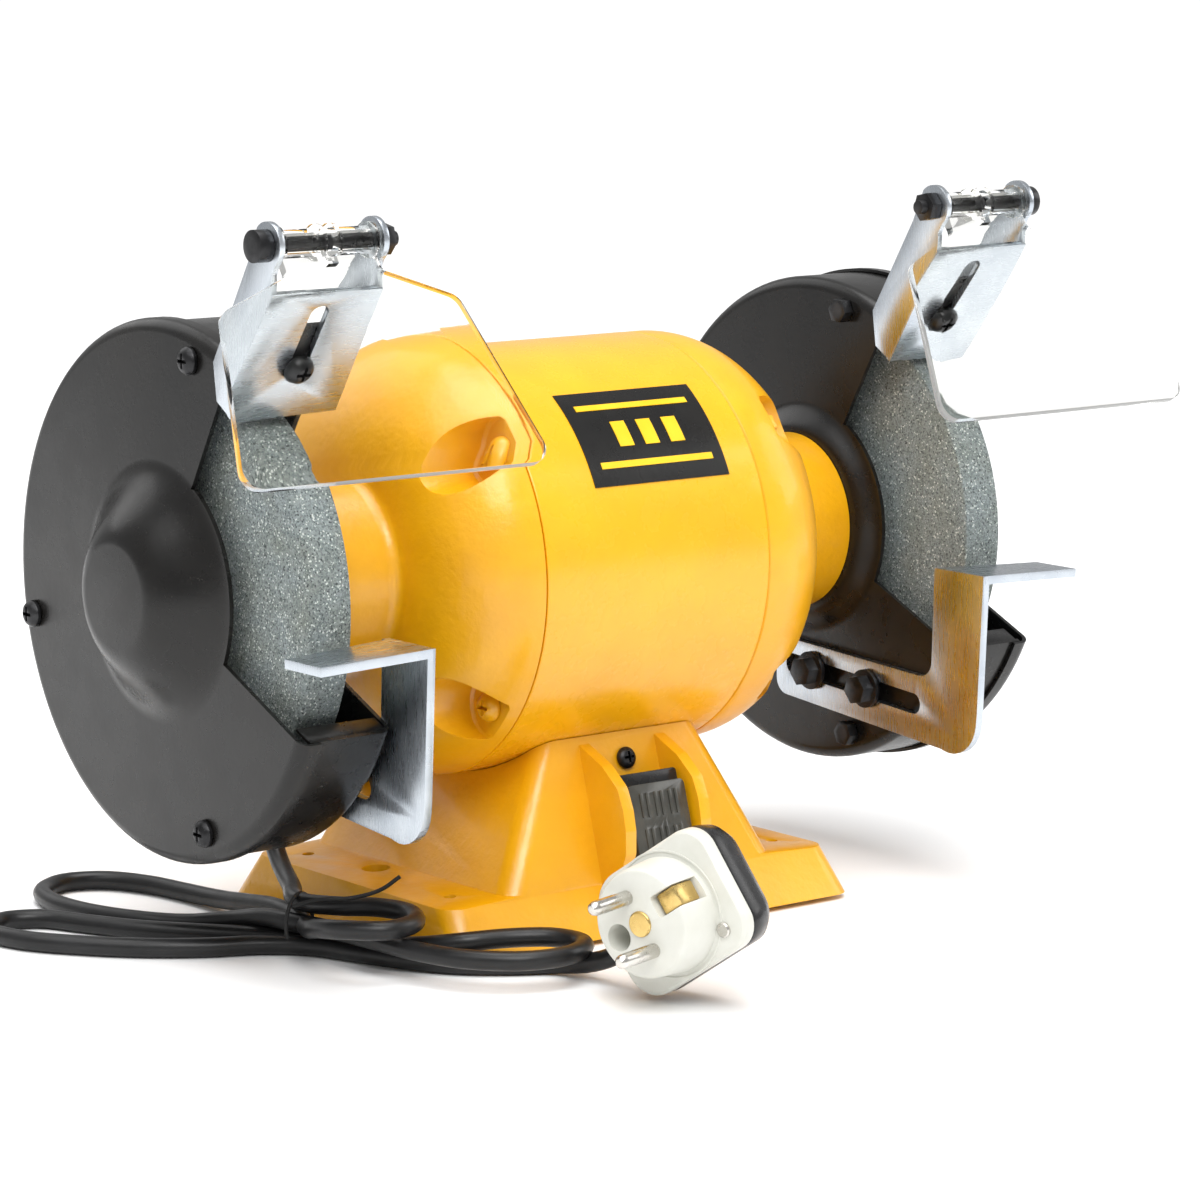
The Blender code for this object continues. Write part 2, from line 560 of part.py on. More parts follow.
def make_tool_rests(mats):
    """Bent steel rests that slide along their slots on two bolts each."""
    def along(y):
        return REST_BOLTS[0][1] + (y - REST_BOLTS[0][0]) * math.tan(SLOT_SLOPE)

    for label, side in SIDES:
        arm = rounded([(-99.6, REST_TOP, 0.0), (-97.2, 66.0, 0.0), (-95.3, 46.5, 13.0), (-79.0, 51.2, 0.0),
                       (10.7, 59.4, 6.0), (10.7, 80.5, 6.0), (-66.0, 76.0, 5.0), (-73.3, 76.0, 6.0),
                       (-74.5, REST_TOP, 0.0)], 4)
        rest = sheet("tool_rest_" + label, mats["zinc_plate"], arm, REST_X0 * side, REST_X1 * side)
        bm = bmesh.new()
        near, far = REST_X0 + 1.0, 162.5
        top = [(near, -99.6, REST_TOP), (far, -100.3, REST_TOP - 1.3), (far, -80.2, REST_TOP - 1.3),
               (near + 4.0, -76.6, REST_TOP), (near, -76.6, REST_TOP)]
        section = [(x * side, y, z) for x, y, z in top]
        add_loft(bm, [section, [(x, y, z - 3.0) for x, y, z in section]])
        combine(rest, place(bm, "rest_table_" + label, None), "UNION")
        groove = slot((-64.0, along(-64.0)), (1.5, along(1.5)), 3.75)
        combine(rest, sheet("rest_slot_" + label, None, groove, 110.0 * side, 130.0 * side))
        attach([rest], joint_empty("tool_rest_slide_" + label, (REST_X0 * side, *REST_BOLTS[0])))
        for end, (y, z) in zip(("rear", "front"), REST_BOLTS):
            head = [(111.7, 0.0), (111.7, 5.4), (116.3, 5.4), (116.3, 7.0), (117.9, 7.0), (117.9, 3.0),
                    (123.3, 3.0), (123.3, 5.4), (127.0, 5.4), (127.0, 0.0)]
            turned(f"tool_rest_bolt_{label}_{end}", mats["black_bolt"], head, 8, (0.0, y, z), side,
                   closed=False)


# ---------------------------------------------------------------- eye shields

def bracket_screw_frame(side):
    """Local x runs back through the bracket's face, y along the spindle, z up the face."""
    spot = Vector((BRACKET_SCREW[0] * side, *BRACKET_SCREW[1:]))
    return local_frame(spot, BRACKET_BACK, Vector((1.0, 0.0, 0.0)), BRACKET_UP)


def make_shields(mats):
    """On each side a slotted channel bracket, its screw, the pivot bolt and the clear shield."""
    for label, side in SIDES:
        pivot = Vector((0.0, PIVOT_Y, PIVOT_Z)) - Vector((0.0, *BRACKET_SCREW[1:]))
        eye = (pivot.dot(BRACKET_UP), pivot.dot(BRACKET_BACK))
        cheek = [(-17.6, 0.5), (29.0, 0.5), (35.0, 4.0)]
        cheek += arc(eye, 7.5, -110.0, 75.0, 8)
        cheek += [(31.0, 17.0), (-8.0, 17.0), (-17.6, 9.0)]
        flange = bracket_outline(cheek)
        bracket = sheet("shield_bracket_" + label, mats["zinc_plate"], flange, 119.2 * side, 121.2 * side)
        outer = sheet("bracket_flange_" + label, None, flange, 158.8 * side, 160.8 * side)
        combine(bracket, outer, "UNION")
        face = bracket_outline([(-18.0, 0.0), (29.5, 0.0), (29.5, 2.0), (-18.0, 2.0)])
        combine(bracket, sheet("bracket_face_" + label, None, face, 119.3 * side, 160.7 * side), "UNION")
        groove = slot((-2.0, 0.0), (20.4, 0.0), 3.3)
        bm = bmesh.new()
        add_loft(bm, [[(-2.0, v, u) for u, v in groove], [(4.0, v, u) for u, v in groove]])
        combine(bracket, place(bm, "bracket_slot_" + label, None, bracket_screw_frame(side)))
        hole(bracket, "pivot_hole_" + label, 115.0, 165.0, 2.9, PIVOT_Y, PIVOT_Z, side)

        screw = [(-4.4, 0.0), (-4.4, 3.4), (-0.3, 4.6), (-0.3, 2.5), (4.1, 2.5), (4.1, 4.5), (7.6, 4.5),
                 (7.6, 0.0)]
        turned("bracket_screw_" + label, mats["black_bolt"], screw, 8, closed=False,
               matrix=bracket_screw_frame(side))

        bolt = [(-166.0, 0.0), (-166.0, 4.6), (-165.0, 5.2), (-161.1, 5.2), (-161.1, 2.5), (-118.9, 2.5),
                (-118.9, 5.2), (-114.6, 5.2), (-114.6, 2.3), (-112.0, 2.3), (-112.0, 0.0)]
        pin = turned("shield_pivot_bolt_" + label, mats["black_bolt"], bolt, 8,
                     (0.0, PIVOT_Y, PIVOT_Z), -side, closed=False)

        down = Vector((0.0, -math.sin(SHIELD_TILT), -math.cos(SHIELD_TILT)))
        front = Vector((0.0, -math.cos(SHIELD_TILT), math.sin(SHIELD_TILT)))
        turn = local_frame(Vector((SHIELD_MID * side, PIVOT_Y, PIVOT_Z)), Vector((1.0, 0.0, 0.0)), down,
                           front)
        edge = rounded([(-19.6, 3.2, 0.0), (-19.6, 11.5, 0.0), (-45.0, 22.6, 5.0), (-58.5, 82.5, 6.0),
                        (58.5, 82.5, 6.0), (44.5, 22.6, 5.0), (16.0, 11.5, 0.0), (16.0, 3.2, 0.0)], 3)
        bm = bmesh.new()
        add_loft(bm, [[(x * side, v, -1.5) for x, v in edge], [(x * side, v, 1.5) for x, v in edge]])
        shield = place(bm, "eye_shield_" + label, mats["clear_plastic"], turn)
        for i, (x0, x1) in enumerate(((121.8, 137.5), (141.5, 158.2))):
            barrel = [(x0, 0.0), (x0, 6.0), (x0 + 1.5, 6.0), (x0 + 1.5, 4.6), (x1 - 1.5, 4.6),
                      (x1 - 1.5, 6.0), (x1, 6.0), (x1, 0.0)]
            combine(shield, turned(f"shield_barrel_{label}_{i}", None, barrel, 10,
                                   (0.0, PIVOT_Y, PIVOT_Z), side, closed=False), "UNION")
        hole(shield, "shield_bore_" + label, 118.0, 162.0, 2.9, PIVOT_Y, PIVOT_Z, side)
        notch = sheet("shield_notch_" + label, None, arc((PIVOT_Y, PIVOT_Z), 8.5, 0.0, 345.0, 15),
                      137.5 * side, 141.5 * side)
        combine(shield, notch)

        slide = joint_empty("bracket_slide_" + label, (BRACKET_SCREW[0] * side, *BRACKET_SCREW[1:]))
        attach([bracket, pin], slide)
        axis = joint_empty("shield_axis_" + label, (SHIELD_MID * side, PIVOT_Y, PIVOT_Z))
        attach([shield], axis, slide)


# ---------------------------------------------------------------- switch

def make_switch(mats):
    """Switch body, rocker, its clear boot and the screw of the switch panel."""
    body = front_block("switch_body", mats["black_plastic"], 13.0, -37.0, -3.2, -14.0, 10.3)
    combine(body, front_block("rocker_well", None, 9.1, -30.4, -10.0, 1.2, 12.0))

    middle, height, swing = -20.2, 5.0, math.radians(8.0)
    section = [(-8.7, 4.8), (0.0, 3.6), (8.7, 4.8), (8.7, -2.0), (-8.7, -2.0)]
    bm = bmesh.new()
    rings = []
    for x in (-8.7, 8.7):
        ring = []
        for v, n in section:
            ring.append((x, middle + v * math.cos(swing) - n * math.sin(swing),
                         height + v * math.sin(swing) + n * math.cos(swing)))
        rings.append(ring)
    add_loft(bm, rings)
    rocker = place(bm, "switch_rocker", mats["black_plastic"], front_frame())
    attach([rocker], joint_empty("rocker_axis", on_front(0.0, middle, height)))

    bm = bmesh.new()
    low, high = -34.0, -7.4
    rings = []
    for inset, out in ((0.0, 10.6), (0.6, 14.2), (1.4, 14.8)):
        half, top, bottom = 12.2 - inset, high - inset, low + inset
        corners = [(half, top, 2.0), (-half, top, 2.0), (-half, bottom, 2.0), (half, bottom, 2.0)]
        rings.append([(x, v, out) for x, v in rounded(corners, 2)])
    add_loft(bm, rings)
    boot = place(bm, "switch_boot", mats["boot_plastic"], front_frame())
    combine(boot, front_block("boot_hollow", None, 10.6, low + 1.6, high - 1.6, 9.0, 13.6))

    screw = [(-9.0, 0.0), (-9.0, 1.8), (0.3, 1.8), (0.3, 3.8), (1.6, 3.6), (2.6, 2.4), (2.6, 0.0)]
    turned("switch_panel_screw", mats["black_bolt"], screw, 12, closed=False, matrix=panel_screw_frame())


# ---------------------------------------------------------------- cord and plug

PLUG_POINT = Vector((-61.0, -150.0, 0.9))
PIN_AXIS = Vector((-0.9644, -0.2639, -0.0140))
PIN_ROW = Vector((0.1594, -0.5384, -0.8275))

# The cord's own route, chosen by hand: out of the gland, then back and forth through the tie.
CORD_ROUTE = (
    (-71.6, 43.0, 45.0), (-75.0, 43.0, 45.0), (-82.0, 42.0, 42.6), (-89.0, 37.8, 36.5),
    (-94.0, 29.5, 28.5), (-98.0, 19.0, 22.0), (-104.0, 4.0, 18.2), (-112.0, -12.0, 17.0),
    (-106.0, -27.0, 17.2), (-97.5, -37.0, 17.4), (-94.0, -50.0, 17.4), (-101.0, -63.0, 17.4),
    (-114.0, -66.0, 17.4), (-123.0, -56.0, 17.0), (-123.0, -40.0, 14.5), (-117.0, -25.0, 10.8),
    (-109.5, -9.0, 10.2), (-106.5, 10.0, 10.0), (-104.5, 30.0, 7.5), (-102.0, 52.0, 4.5),
    (-103.0, 72.0, 3.5), (-107.0, 91.0, 3.5), (-115.5, 106.0, 3.5), (-129.0, 111.5, 3.5),
    (-142.0, 104.0, 3.5), (-147.5, 89.0, 3.5), (-146.5, 68.0, 3.5), (-139.5, 48.0, 3.5),
    (-129.5, 31.0, 3.9), (-120.5, 16.0, 6.5), (-116.5, 1.0, 9.6), (-114.5, -15.0, 10.3),
    (-110.5, -32.0, 10.3), (-108.0, -52.0, 10.3), (-106.0, -72.0, 10.3), (-99.0, -91.0, 10.3),
    (-85.0, -104.0, 10.3), (-69.0, -106.0, 10.3), (-57.0, -97.0, 10.3), (-59.0, -84.0, 10.3),
    (-71.0, -75.5, 10.3), (-86.0, -69.0, 9.8), (-93.5, -56.0, 7.2), (-94.5, -38.0, 4.2),
    (-100.0, -22.0, 3.5), (-109.5, -8.0, 3.5), (-120.5, 4.0, 3.5), (-133.0, 18.0, 3.5),
    (-146.0, 35.0, 3.5), (-155.5, 53.0, 3.5), (-164.0, 69.0, 3.5), (-177.0, 73.5, 3.5),
    (-187.0, 63.0, 3.5), (-185.0, 47.0, 3.5), (-174.0, 29.0, 3.5), (-159.0, 12.0, 3.5),
    (-142.0, -1.0, 3.5), (-126.0, -9.0, 3.5), (-113.5, -21.0, 3.5), (-106.0, -40.0, 3.5),
    (-99.0, -57.0, 3.5), (-89.5, -72.0, 3.5), (-77.0, -83.0, 3.5), (-65.0, -91.0, 3.6),
    (-59.5, -102.0, 5.2), (-57.5, -113.0, 9.2), (-56.2, -118.6, 12.9), (-55.2, -122.6, 15.7),
)
CORD_POINTS = 60


def smooth_route(route, count):
    """Evenly spaced points on the centripetal curve through a route."""
    points = [Vector(p) for p in route]
    points = [points[0] * 2 - points[1]] + points + [points[-1] * 2 - points[-2]]
    fine = []
    for a, b, c, d in zip(points, points[1:], points[2:], points[3:]):
        t1 = (b - a).length ** 0.5
        t2 = t1 + (c - b).length ** 0.5
        t3 = t2 + (d - c).length ** 0.5
        for k in range(12):
            t = t1 + (t2 - t1) * k / 12
            ab = a * ((t1 - t) / t1) + b * (t / t1)
            bc = b * ((t2 - t) / (t2 - t1)) + c * ((t - t1) / (t2 - t1))
            cd = c * ((t3 - t) / (t3 - t2)) + d * ((t - t2) / (t3 - t2))
            abc = ab * ((t2 - t) / t2) + bc * (t / t2)
            bcd = bc * ((t3 - t) / (t3 - t1)) + cd * ((t - t1) / (t3 - t1))
            fine.append(abc * ((t2 - t) / (t2 - t1)) + bcd * ((t - t1) / (t2 - t1)))
    fine.append(points[-2])
    lengths = [0.0]
    for a, b in zip(fine, fine[1:]):
        lengths.append(lengths[-1] + (b - a).length)
    result = []
    k = 0
    for i in range(count):
        goal = lengths[-1] * i / (count - 1)
        while k < len(lengths) - 2 and lengths[k + 1] < goal:
            k += 1
        part = (goal - lengths[k]) / (lengths[k + 1] - lengths[k])
        result.append(fine[k].lerp(fine[k + 1], part))
    return result


def make_cord(mats):
    """Gland in the base's left side, the free cord, and the two halves of the plug."""
    gland = [(45.0, 0.0), (45.0, 4.9), (54.6, 4.9), (54.6, 7.0), (57.5, 7.0), (58.5, 5.6), (71.0, 4.4),
             (71.0, 0.0)]
    turned("cord_gland", mats["rubber"], gland, 16, (0.0, 43.0, 45.0), -1.0, closed=False)

    curve = bpy.data.curves.new("power_cord", "CURVE")
    curve.dimensions = "3D"
    curve.bevel_depth = CORD_R * MM
    curve.bevel_resolution = 2
    curve.use_fill_caps = True
    points = smooth_route(CORD_ROUTE, CORD_POINTS)
    first, last = Vector(CORD_ROUTE[0]), Vector(CORD_ROUTE[-1])
    points.insert(1, first.lerp(Vector(CORD_ROUTE[1]), 0.9))
    points.insert(-1, last.lerp(Vector(CORD_ROUTE[-2]), 0.6))
    spline = curve.splines.new("POLY")
    spline.points.add(len(points) - 1)
    for target, point in zip(spline.points, points):
        target.co = (*(point * MM), 1.0)
    cord = bpy.data.objects.new("power_cord", curve)
    curve.materials.append(mats["cord_jacket"])
    bpy.context.scene.collection.objects.link(cord)

    across = PIN_AXIS.cross(PIN_ROW)
    middle = PLUG_POINT - PIN_ROW * 26.0 + across * 14.0
    turn = local_frame(middle, PIN_AXIS, PIN_ROW, across)

    def plate(grow):
        return rounded([(21.0 + grow, 26.0 + grow, 9.0), (-21.0 - grow, 26.0 + grow, 9.0),
                        (-21.0 - grow, -26.0 - grow, 13.0), (21.0 + grow, -26.0 - grow, 11.0)], 4)

    bm = bmesh.new()
    add_loft(bm, [[(-5.0, p, q) for p, q in plate(0.0)], [(0.0, p, q) for p, q in plate(-1.0)]])
    face = place(bm, "plug_face", mats["plug_white"], turn)
    boss = [(-2.0, 0.0), (-2.0, 19.0), (15.0, 17.6), (15.0, 0.0)]
    combine(face, turned("plug_boss", None, boss, 28, closed=False, matrix=turn), "UNION")
    for i, p in enumerate((-9.4, 9.4)):
        pin = [(10.0, 0.0), (10.0, 2.4), (32.5, 2.4), (34.0, 1.2), (34.0, 0.0)]
        post = turned(f"plug_pin_{i}", None, pin, 12, (0.0, p, 0.0), closed=False, matrix=turn)
        combine(face, post, "UNION")
    bm = bmesh.new()
    add_loft(bm, [[(-5.0 - GAP, p, q) for p, q in plate(0.0)], [(-14.0, p, q) for p, q in plate(-0.5)],
                  [(-22.0, p, q) for p, q in plate(-5.0)]])
    place(bm, "plug_rear", mats["black_plastic"], turn)


def main():
    for obj in list(bpy.data.objects):
        bpy.data.objects.remove(obj)
    mats = make_materials()
    make_base(mats)
    make_base_fittings(mats)
    make_motor_shell(mats)
    make_stator(mats)
    make_rotor(mats)
    make_guards(mats)
    make_tool_rests(mats)
    make_shields(mats)
    make_switch(mats)
    make_cord(mats)


main()
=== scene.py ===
"""The bench grinder's looks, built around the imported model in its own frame.

Numbers are millimetres unless a name says otherwise; meshes are scaled to metres when they are made.
"""

import json
import math

import bmesh
import bpy
from mathutils import Matrix, Vector


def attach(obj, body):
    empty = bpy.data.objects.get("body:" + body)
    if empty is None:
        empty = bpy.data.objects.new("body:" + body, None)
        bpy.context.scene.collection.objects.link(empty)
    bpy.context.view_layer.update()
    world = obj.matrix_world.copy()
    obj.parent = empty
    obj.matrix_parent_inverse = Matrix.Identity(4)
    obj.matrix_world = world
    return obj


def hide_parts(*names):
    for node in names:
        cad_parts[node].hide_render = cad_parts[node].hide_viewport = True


MM = 0.001
SIDES = (("left", -1.0), ("right", 1.0))
NONE = (0.0, 0.0, 0.0)

# driving sizes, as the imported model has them
SPINDLE_Z = 125.0
TUBE_R, TUBE_LEFT, TUBE_RIGHT = 73.1, 53.0, 43.0
SHOULDER_X, SHOULDER_LENGTH = 50.0, 34.0
NECK_R, NECK_END = 32.0, 115.7
BOLT_Y, BOLT_Z, RECESS_R, RECESS_FLOOR = 48.5, 42.5, 11.0, 58.0
GUARD_Y, PAN_X, SHEET, BAND_R, BAND_END = -1.5, 121.5, 1.5, 88.6, 153.8
COVER_X, RIM_R, DOME_R, DOME_X = 158.2, 90.0, 43.0, 175.0
WHEEL_IN, WHEEL_OUT, WHEEL_R = 133.0, 149.0, 75.0
RIM_Z, LEDGE_Z = 2.0, 17.5
FRONT_TILT = math.atan2(13.9, 47.3)
PANEL_SCREW_UP = 2.8
REST_X0, REST_X1, REST_TOP = 118.2, 121.2, 115.7
SLOT_SLOPE = math.radians(4.8)
REST_BOLTS = ((-9.6, 70.0), (-39.5, 67.5))
COVER_SCREWS = ((-22.0, 78.0), (78.0, -17.0), (-27.0, -76.0))
BRACKET_SCREW = (140.0, -57.9, 202.0)
BRACKET_UP = Vector((0.0, -0.529, 0.8486))
BRACKET_BACK = Vector((0.0, 0.8486, 0.529))
PIVOT_Y, PIVOT_Z = -70.3, 243.0
SHIELD_TILT, SHIELD_MID = math.radians(33.0), 142.0
SHIELD_HALF, PIN_R = 1.5, 2.4
CORD_R, CORD_POINTS, TIE_R = 3.3, 320, 0.7
GLAND_Y, GLAND_Z = 43.0, 45.0
PLUG_POINT = Vector((-61.0, -150.0, 0.9))
PIN_AXIS = Vector((-0.9644, -0.2639, -0.0140))
PIN_ROW = Vector((0.1594, -0.5384, -0.8275))
GAP = 0.3  # clearance between two pieces that meet
EDGE_R = 4.5  # rolled edge of the pan and of its cover
CUT_X0, CUT_X1 = 112.0, 180.0  # span along the spindle of the cuts through a whole guard
NUT_SIDES = 6

CAMERA_AT = (-0.90814, -1.18503, 0.34901)  # metres
CAMERA_AZIMUTH, CAMERA_ELEVATION = math.radians(-38.2585), math.radians(9.2223)

# the cord's own route: out of the gland, then back and forth through the tie
CORD_ROUTE = (
    (-71.6, 43.0, 45.0), (-75.0, 43.0, 45.0), (-82.0, 42.0, 42.6), (-89.0, 37.8, 36.5),
    (-94.0, 29.5, 28.5), (-98.0, 19.0, 22.0), (-104.0, 4.0, 18.2), (-112.0, -12.0, 17.0),
    (-106.0, -27.0, 17.2), (-97.5, -37.0, 17.4), (-94.0, -50.0, 17.4), (-101.0, -63.0, 17.4),
    (-114.0, -66.0, 17.4), (-123.0, -56.0, 17.0), (-123.0, -40.0, 14.5), (-117.0, -25.0, 10.8),
    (-109.5, -9.0, 10.2), (-106.5, 10.0, 10.0), (-104.5, 30.0, 7.5), (-102.0, 52.0, 4.5),
    (-103.0, 72.0, 3.5), (-107.0, 91.0, 3.5), (-115.5, 106.0, 3.5), (-129.0, 111.5, 3.5),
    (-142.0, 104.0, 3.5), (-147.5, 89.0, 3.5), (-146.5, 68.0, 3.5), (-139.5, 48.0, 3.5),
    (-129.5, 31.0, 3.9), (-120.5, 16.0, 6.5), (-116.5, 1.0, 9.6), (-114.5, -15.0, 10.3),
    (-110.5, -32.0, 10.3), (-108.0, -52.0, 10.3), (-106.0, -72.0, 10.3), (-99.0, -91.0, 10.3),
    (-85.0, -104.0, 10.3), (-69.0, -106.0, 10.3), (-57.0, -97.0, 10.3), (-59.0, -84.0, 10.3),
    (-71.0, -75.5, 10.3), (-86.0, -69.0, 9.8), (-93.5, -56.0, 7.2), (-94.5, -38.0, 4.2),
    (-100.0, -22.0, 3.5), (-109.5, -8.0, 3.5), (-120.5, 4.0, 3.5), (-133.0, 18.0, 3.5),
    (-146.0, 35.0, 3.5), (-155.5, 53.0, 3.5), (-164.0, 69.0, 3.5), (-177.0, 73.5, 3.5),
    (-187.0, 63.0, 3.5), (-185.0, 47.0, 3.5), (-174.0, 29.0, 3.5), (-159.0, 12.0, 3.5),
    (-142.0, -1.0, 3.5), (-126.0, -9.0, 3.5), (-113.5, -21.0, 3.5), (-106.0, -40.0, 3.5),
    (-99.0, -57.0, 3.5), (-89.5, -72.0, 3.5), (-77.0, -83.0, 3.5), (-65.0, -91.0, 3.6),
    (-59.5, -102.0, 5.2), (-57.5, -113.0, 9.2), (-56.2, -118.6, 12.9), (-55.2, -122.6, 15.7),
)


def add_turned(bm, profile, steps, shift=NONE, phase=0.0):
    """Turn a loop of (x, radius[, offset in y]) points about the X axis; radius 0 makes a pole."""
    rings = []
    for point in profile:
        x, radius = point[0], point[1]
        y = point[2] if len(point) > 2 else 0.0
        if radius < 1e-6:
            rings.append([bm.verts.new((x + shift[0], y + shift[1], shift[2]))])
            continue
        ring = []
        for i in range(steps):
            angle = 2.0 * math.pi * i / steps + phase
            ring.append(bm.verts.new((x + shift[0], y + radius * math.cos(angle) + shift[1],
                                      radius * math.sin(angle) + shift[2])))
        rings.append(ring)
    for a, b in zip(rings, rings[1:] + rings[:1]):
        if len(a) == 1 and len(b) == 1:
            continue
        for i in range(steps):
            j = (i + 1) % steps
            if len(a) == 1:
                bm.faces.new((a[0], b[i], b[j]))
            elif len(b) == 1:
                bm.faces.new((a[i], b[0], a[j]))
            else:
                bm.faces.new((a[i], b[i], b[j], a[j]))


def add_loft(bm, sections):
    """Skin a stack of outlines, each a list of (x, y, z), and cap both ends."""
    rings = [[bm.verts.new(p) for p in section] for section in sections]
    for a, b in zip(rings, rings[1:]):
        for i in range(len(a)):
            j = (i + 1) % len(a)
            bm.faces.new((a[i], a[j], b[j], b[i]))
    bm.faces.new(rings[0])
    bm.faces.new(list(reversed(rings[-1])))


def arc(centre, radius, start, end, steps):
    """Points on an arc, angles in degrees."""
    points = []
    for i in range(steps + 1):
        angle = math.radians(start + (end - start) * i / steps)
        points.append((centre[0] + radius * math.cos(angle), centre[1] + radius * math.sin(angle)))
    return points


def slot(start, end, radius, steps):
    """A slot outline with round ends."""
    run = math.degrees(math.atan2(end[1] - start[1], end[0] - start[0]))
    return arc(start, radius, run + 90, run + 270, steps) + arc(end, radius, run - 90, run + 90, steps)


def rod(x0, x1, radius):
    """The profile of a plain cylinder."""
    return [(x0, 0.0), (x0, radius), (x1, radius), (x1, 0.0)]


def local_frame(origin, x_axis, y_axis, z_axis):
    """The matrix that carries local axes to world axes at origin."""
    rotation = Matrix((x_axis, y_axis, z_axis)).transposed().to_4x4()
    return Matrix.Translation(origin) @ rotation


def front_frame():
    """Local x right, y up the sloping front, z out of it."""
    up = Vector((0.0, math.sin(FRONT_TILT), math.cos(FRONT_TILT)))
    out = Vector((0.0, -math.cos(FRONT_TILT), math.sin(FRONT_TILT)))
    return local_frame(Vector((0.0, -48.1, SPINDLE_Z - 70.0)), Vector((1.0, 0.0, 0.0)), up, out)


def panel_screw_frame():
    """Local x out of the sloping front at the screw above the switch."""
    turn = Matrix.Rotation(-math.pi / 2, 4, "Y")
    return front_frame() @ Matrix.Translation((0.0, PANEL_SCREW_UP, 0.0)) @ turn


def spindle_frame(y, z, to_left):
    """Local x along the spindle through (y, z), to the right or to the left."""
    return Matrix.Translation((0.0, y, z)) @ Matrix.Rotation(math.pi if to_left else 0.0, 4, "Z")


def bracket_screw_frame(side):
    """Local x runs back through the bracket's face, y along the spindle, z up the face."""
    spot = Vector((BRACKET_SCREW[0] * side, *BRACKET_SCREW[1:]))
    return local_frame(spot, BRACKET_BACK, Vector((1.0, 0.0, 0.0)), BRACKET_UP)


def bracket_outline(points):
    """(up, back) points beside the bracket screw, as world (y, z)."""
    world = []
    for up, back in points:
        spot = Vector(BRACKET_SCREW) + BRACKET_UP * up + BRACKET_BACK * back
        world.append((spot.y, spot.z))
    return world


def smooth_route(route, count):
    """Evenly spaced points on the centripetal curve through a route."""
    points = [Vector(p) for p in route]
    points = [points[0] * 2 - points[1]] + points + [points[-1] * 2 - points[-2]]
    fine = []
    for a, b, c, d in zip(points, points[1:], points[2:], points[3:]):
        t1 = (b - a).length ** 0.5
        t2 = t1 + (c - b).length ** 0.5
        t3 = t2 + (d - c).length ** 0.5
        for k in range(12):
            t = t1 + (t2 - t1) * k / 12
            ab = a * ((t1 - t) / t1) + b * (t / t1)
            bc = b * ((t2 - t) / (t2 - t1)) + c * ((t - t1) / (t2 - t1))
            cd = c * ((t3 - t) / (t3 - t2)) + d * ((t - t2) / (t3 - t2))
            abc = ab * ((t2 - t) / t2) + bc * (t / t2)
            bcd = bc * ((t3 - t) / (t3 - t1)) + cd * ((t - t1) / (t3 - t1))
            fine.append(abc * ((t2 - t) / (t2 - t1)) + bcd * ((t - t1) / (t2 - t1)))
    fine.append(points[-2])
    lengths = [0.0]
    for a, b in zip(fine, fine[1:]):
        lengths.append(lengths[-1] + (b - a).length)
    result = []
    k = 0
    for i in range(count):
        goal = lengths[-1] * i / (count - 1)
        while k < len(lengths) - 2 and lengths[k + 1] < goal:
            k += 1
        part = (goal - lengths[k]) / (lengths[k + 1] - lengths[k])
        result.append(fine[k].lerp(fine[k + 1], part))
    return result


def rounded(corners, steps=8):
    """An outline from (u, v, radius) corners, each turned into an arc that meets its sides."""
    points = []
    count = len(corners)
    for i, (u, v, radius) in enumerate(corners):
        here = Vector((u, v))
        if radius <= 0.0:
            points.append((u, v))
            continue
        before = (Vector(corners[i - 1][:2]) - here).normalized()
        after = (Vector(corners[(i + 1) % count][:2]) - here).normalized()
        half = before.angle(after) / 2.0
        reach = radius / math.tan(half)
        centre = here + (before + after).normalized() * (radius / math.sin(half))
        start = here + before * reach - centre
        end = here + after * reach - centre
        turn = math.atan2(start.x * end.y - start.y * end.x, start.dot(end))
        for k in range(steps + 1):
            arm = Matrix.Rotation(turn * k / steps, 2) @ start
            points.append((centre.x + arm.x, centre.y + arm.y))
    return points


# ---------------------------------------------------------------- materials

def nodes_of(name):
    """A new material with its node tree, its shader and its object coordinates."""
    mat = bpy.data.materials.new(name)
    mat.use_nodes = True
    tree = mat.node_tree
    shader = tree.nodes["Principled BSDF"]
    coords = tree.nodes.new("ShaderNodeTexCoord").outputs["Object"]
    return mat, tree, shader, coords


def noise(tree, coords, scale, detail=4.0):
    """A noise pattern whose grains are about 1/scale metres."""
    node = tree.nodes.new("ShaderNodeTexNoise")
    node.inputs["Scale"].default_value = scale
    node.inputs["Detail"].default_value = detail
    node.inputs["Roughness"].default_value = 0.55
    tree.links.new(coords, node.inputs["Vector"])
    return node.outputs["Fac"]


def ramp(tree, factor, low, high, start=0.3, end=0.7):
    """Colour that goes from low to high as the factor goes from start to end."""
    node = tree.nodes.new("ShaderNodeValToRGB")
    node.color_ramp.elements[0].position = start
    node.color_ramp.elements[1].position = end
    node.color_ramp.elements[0].color = (*low, 1.0)
    node.color_ramp.elements[1].color = (*high, 1.0)
    tree.links.new(factor, node.inputs["Fac"])
    return node.outputs["Color"]


def paint(tree, shader, factor, low, high, start=0.3, end=0.7):
    """Base colour that follows a factor."""
    tree.links.new(ramp(tree, factor, low, high, start, end), shader.inputs["Base Color"])


def gloss_by(tree, shader, factor, low, high):
    """Roughness that follows a factor."""
    node = tree.nodes.new("ShaderNodeMapRange")
    node.inputs["From Min"].default_value = 0.3
    node.inputs["From Max"].default_value = 0.7
    node.inputs["To Min"].default_value = low
    node.inputs["To Max"].default_value = high
    tree.links.new(factor, node.inputs["Value"])
    tree.links.new(node.outputs["Result"], shader.inputs["Roughness"])


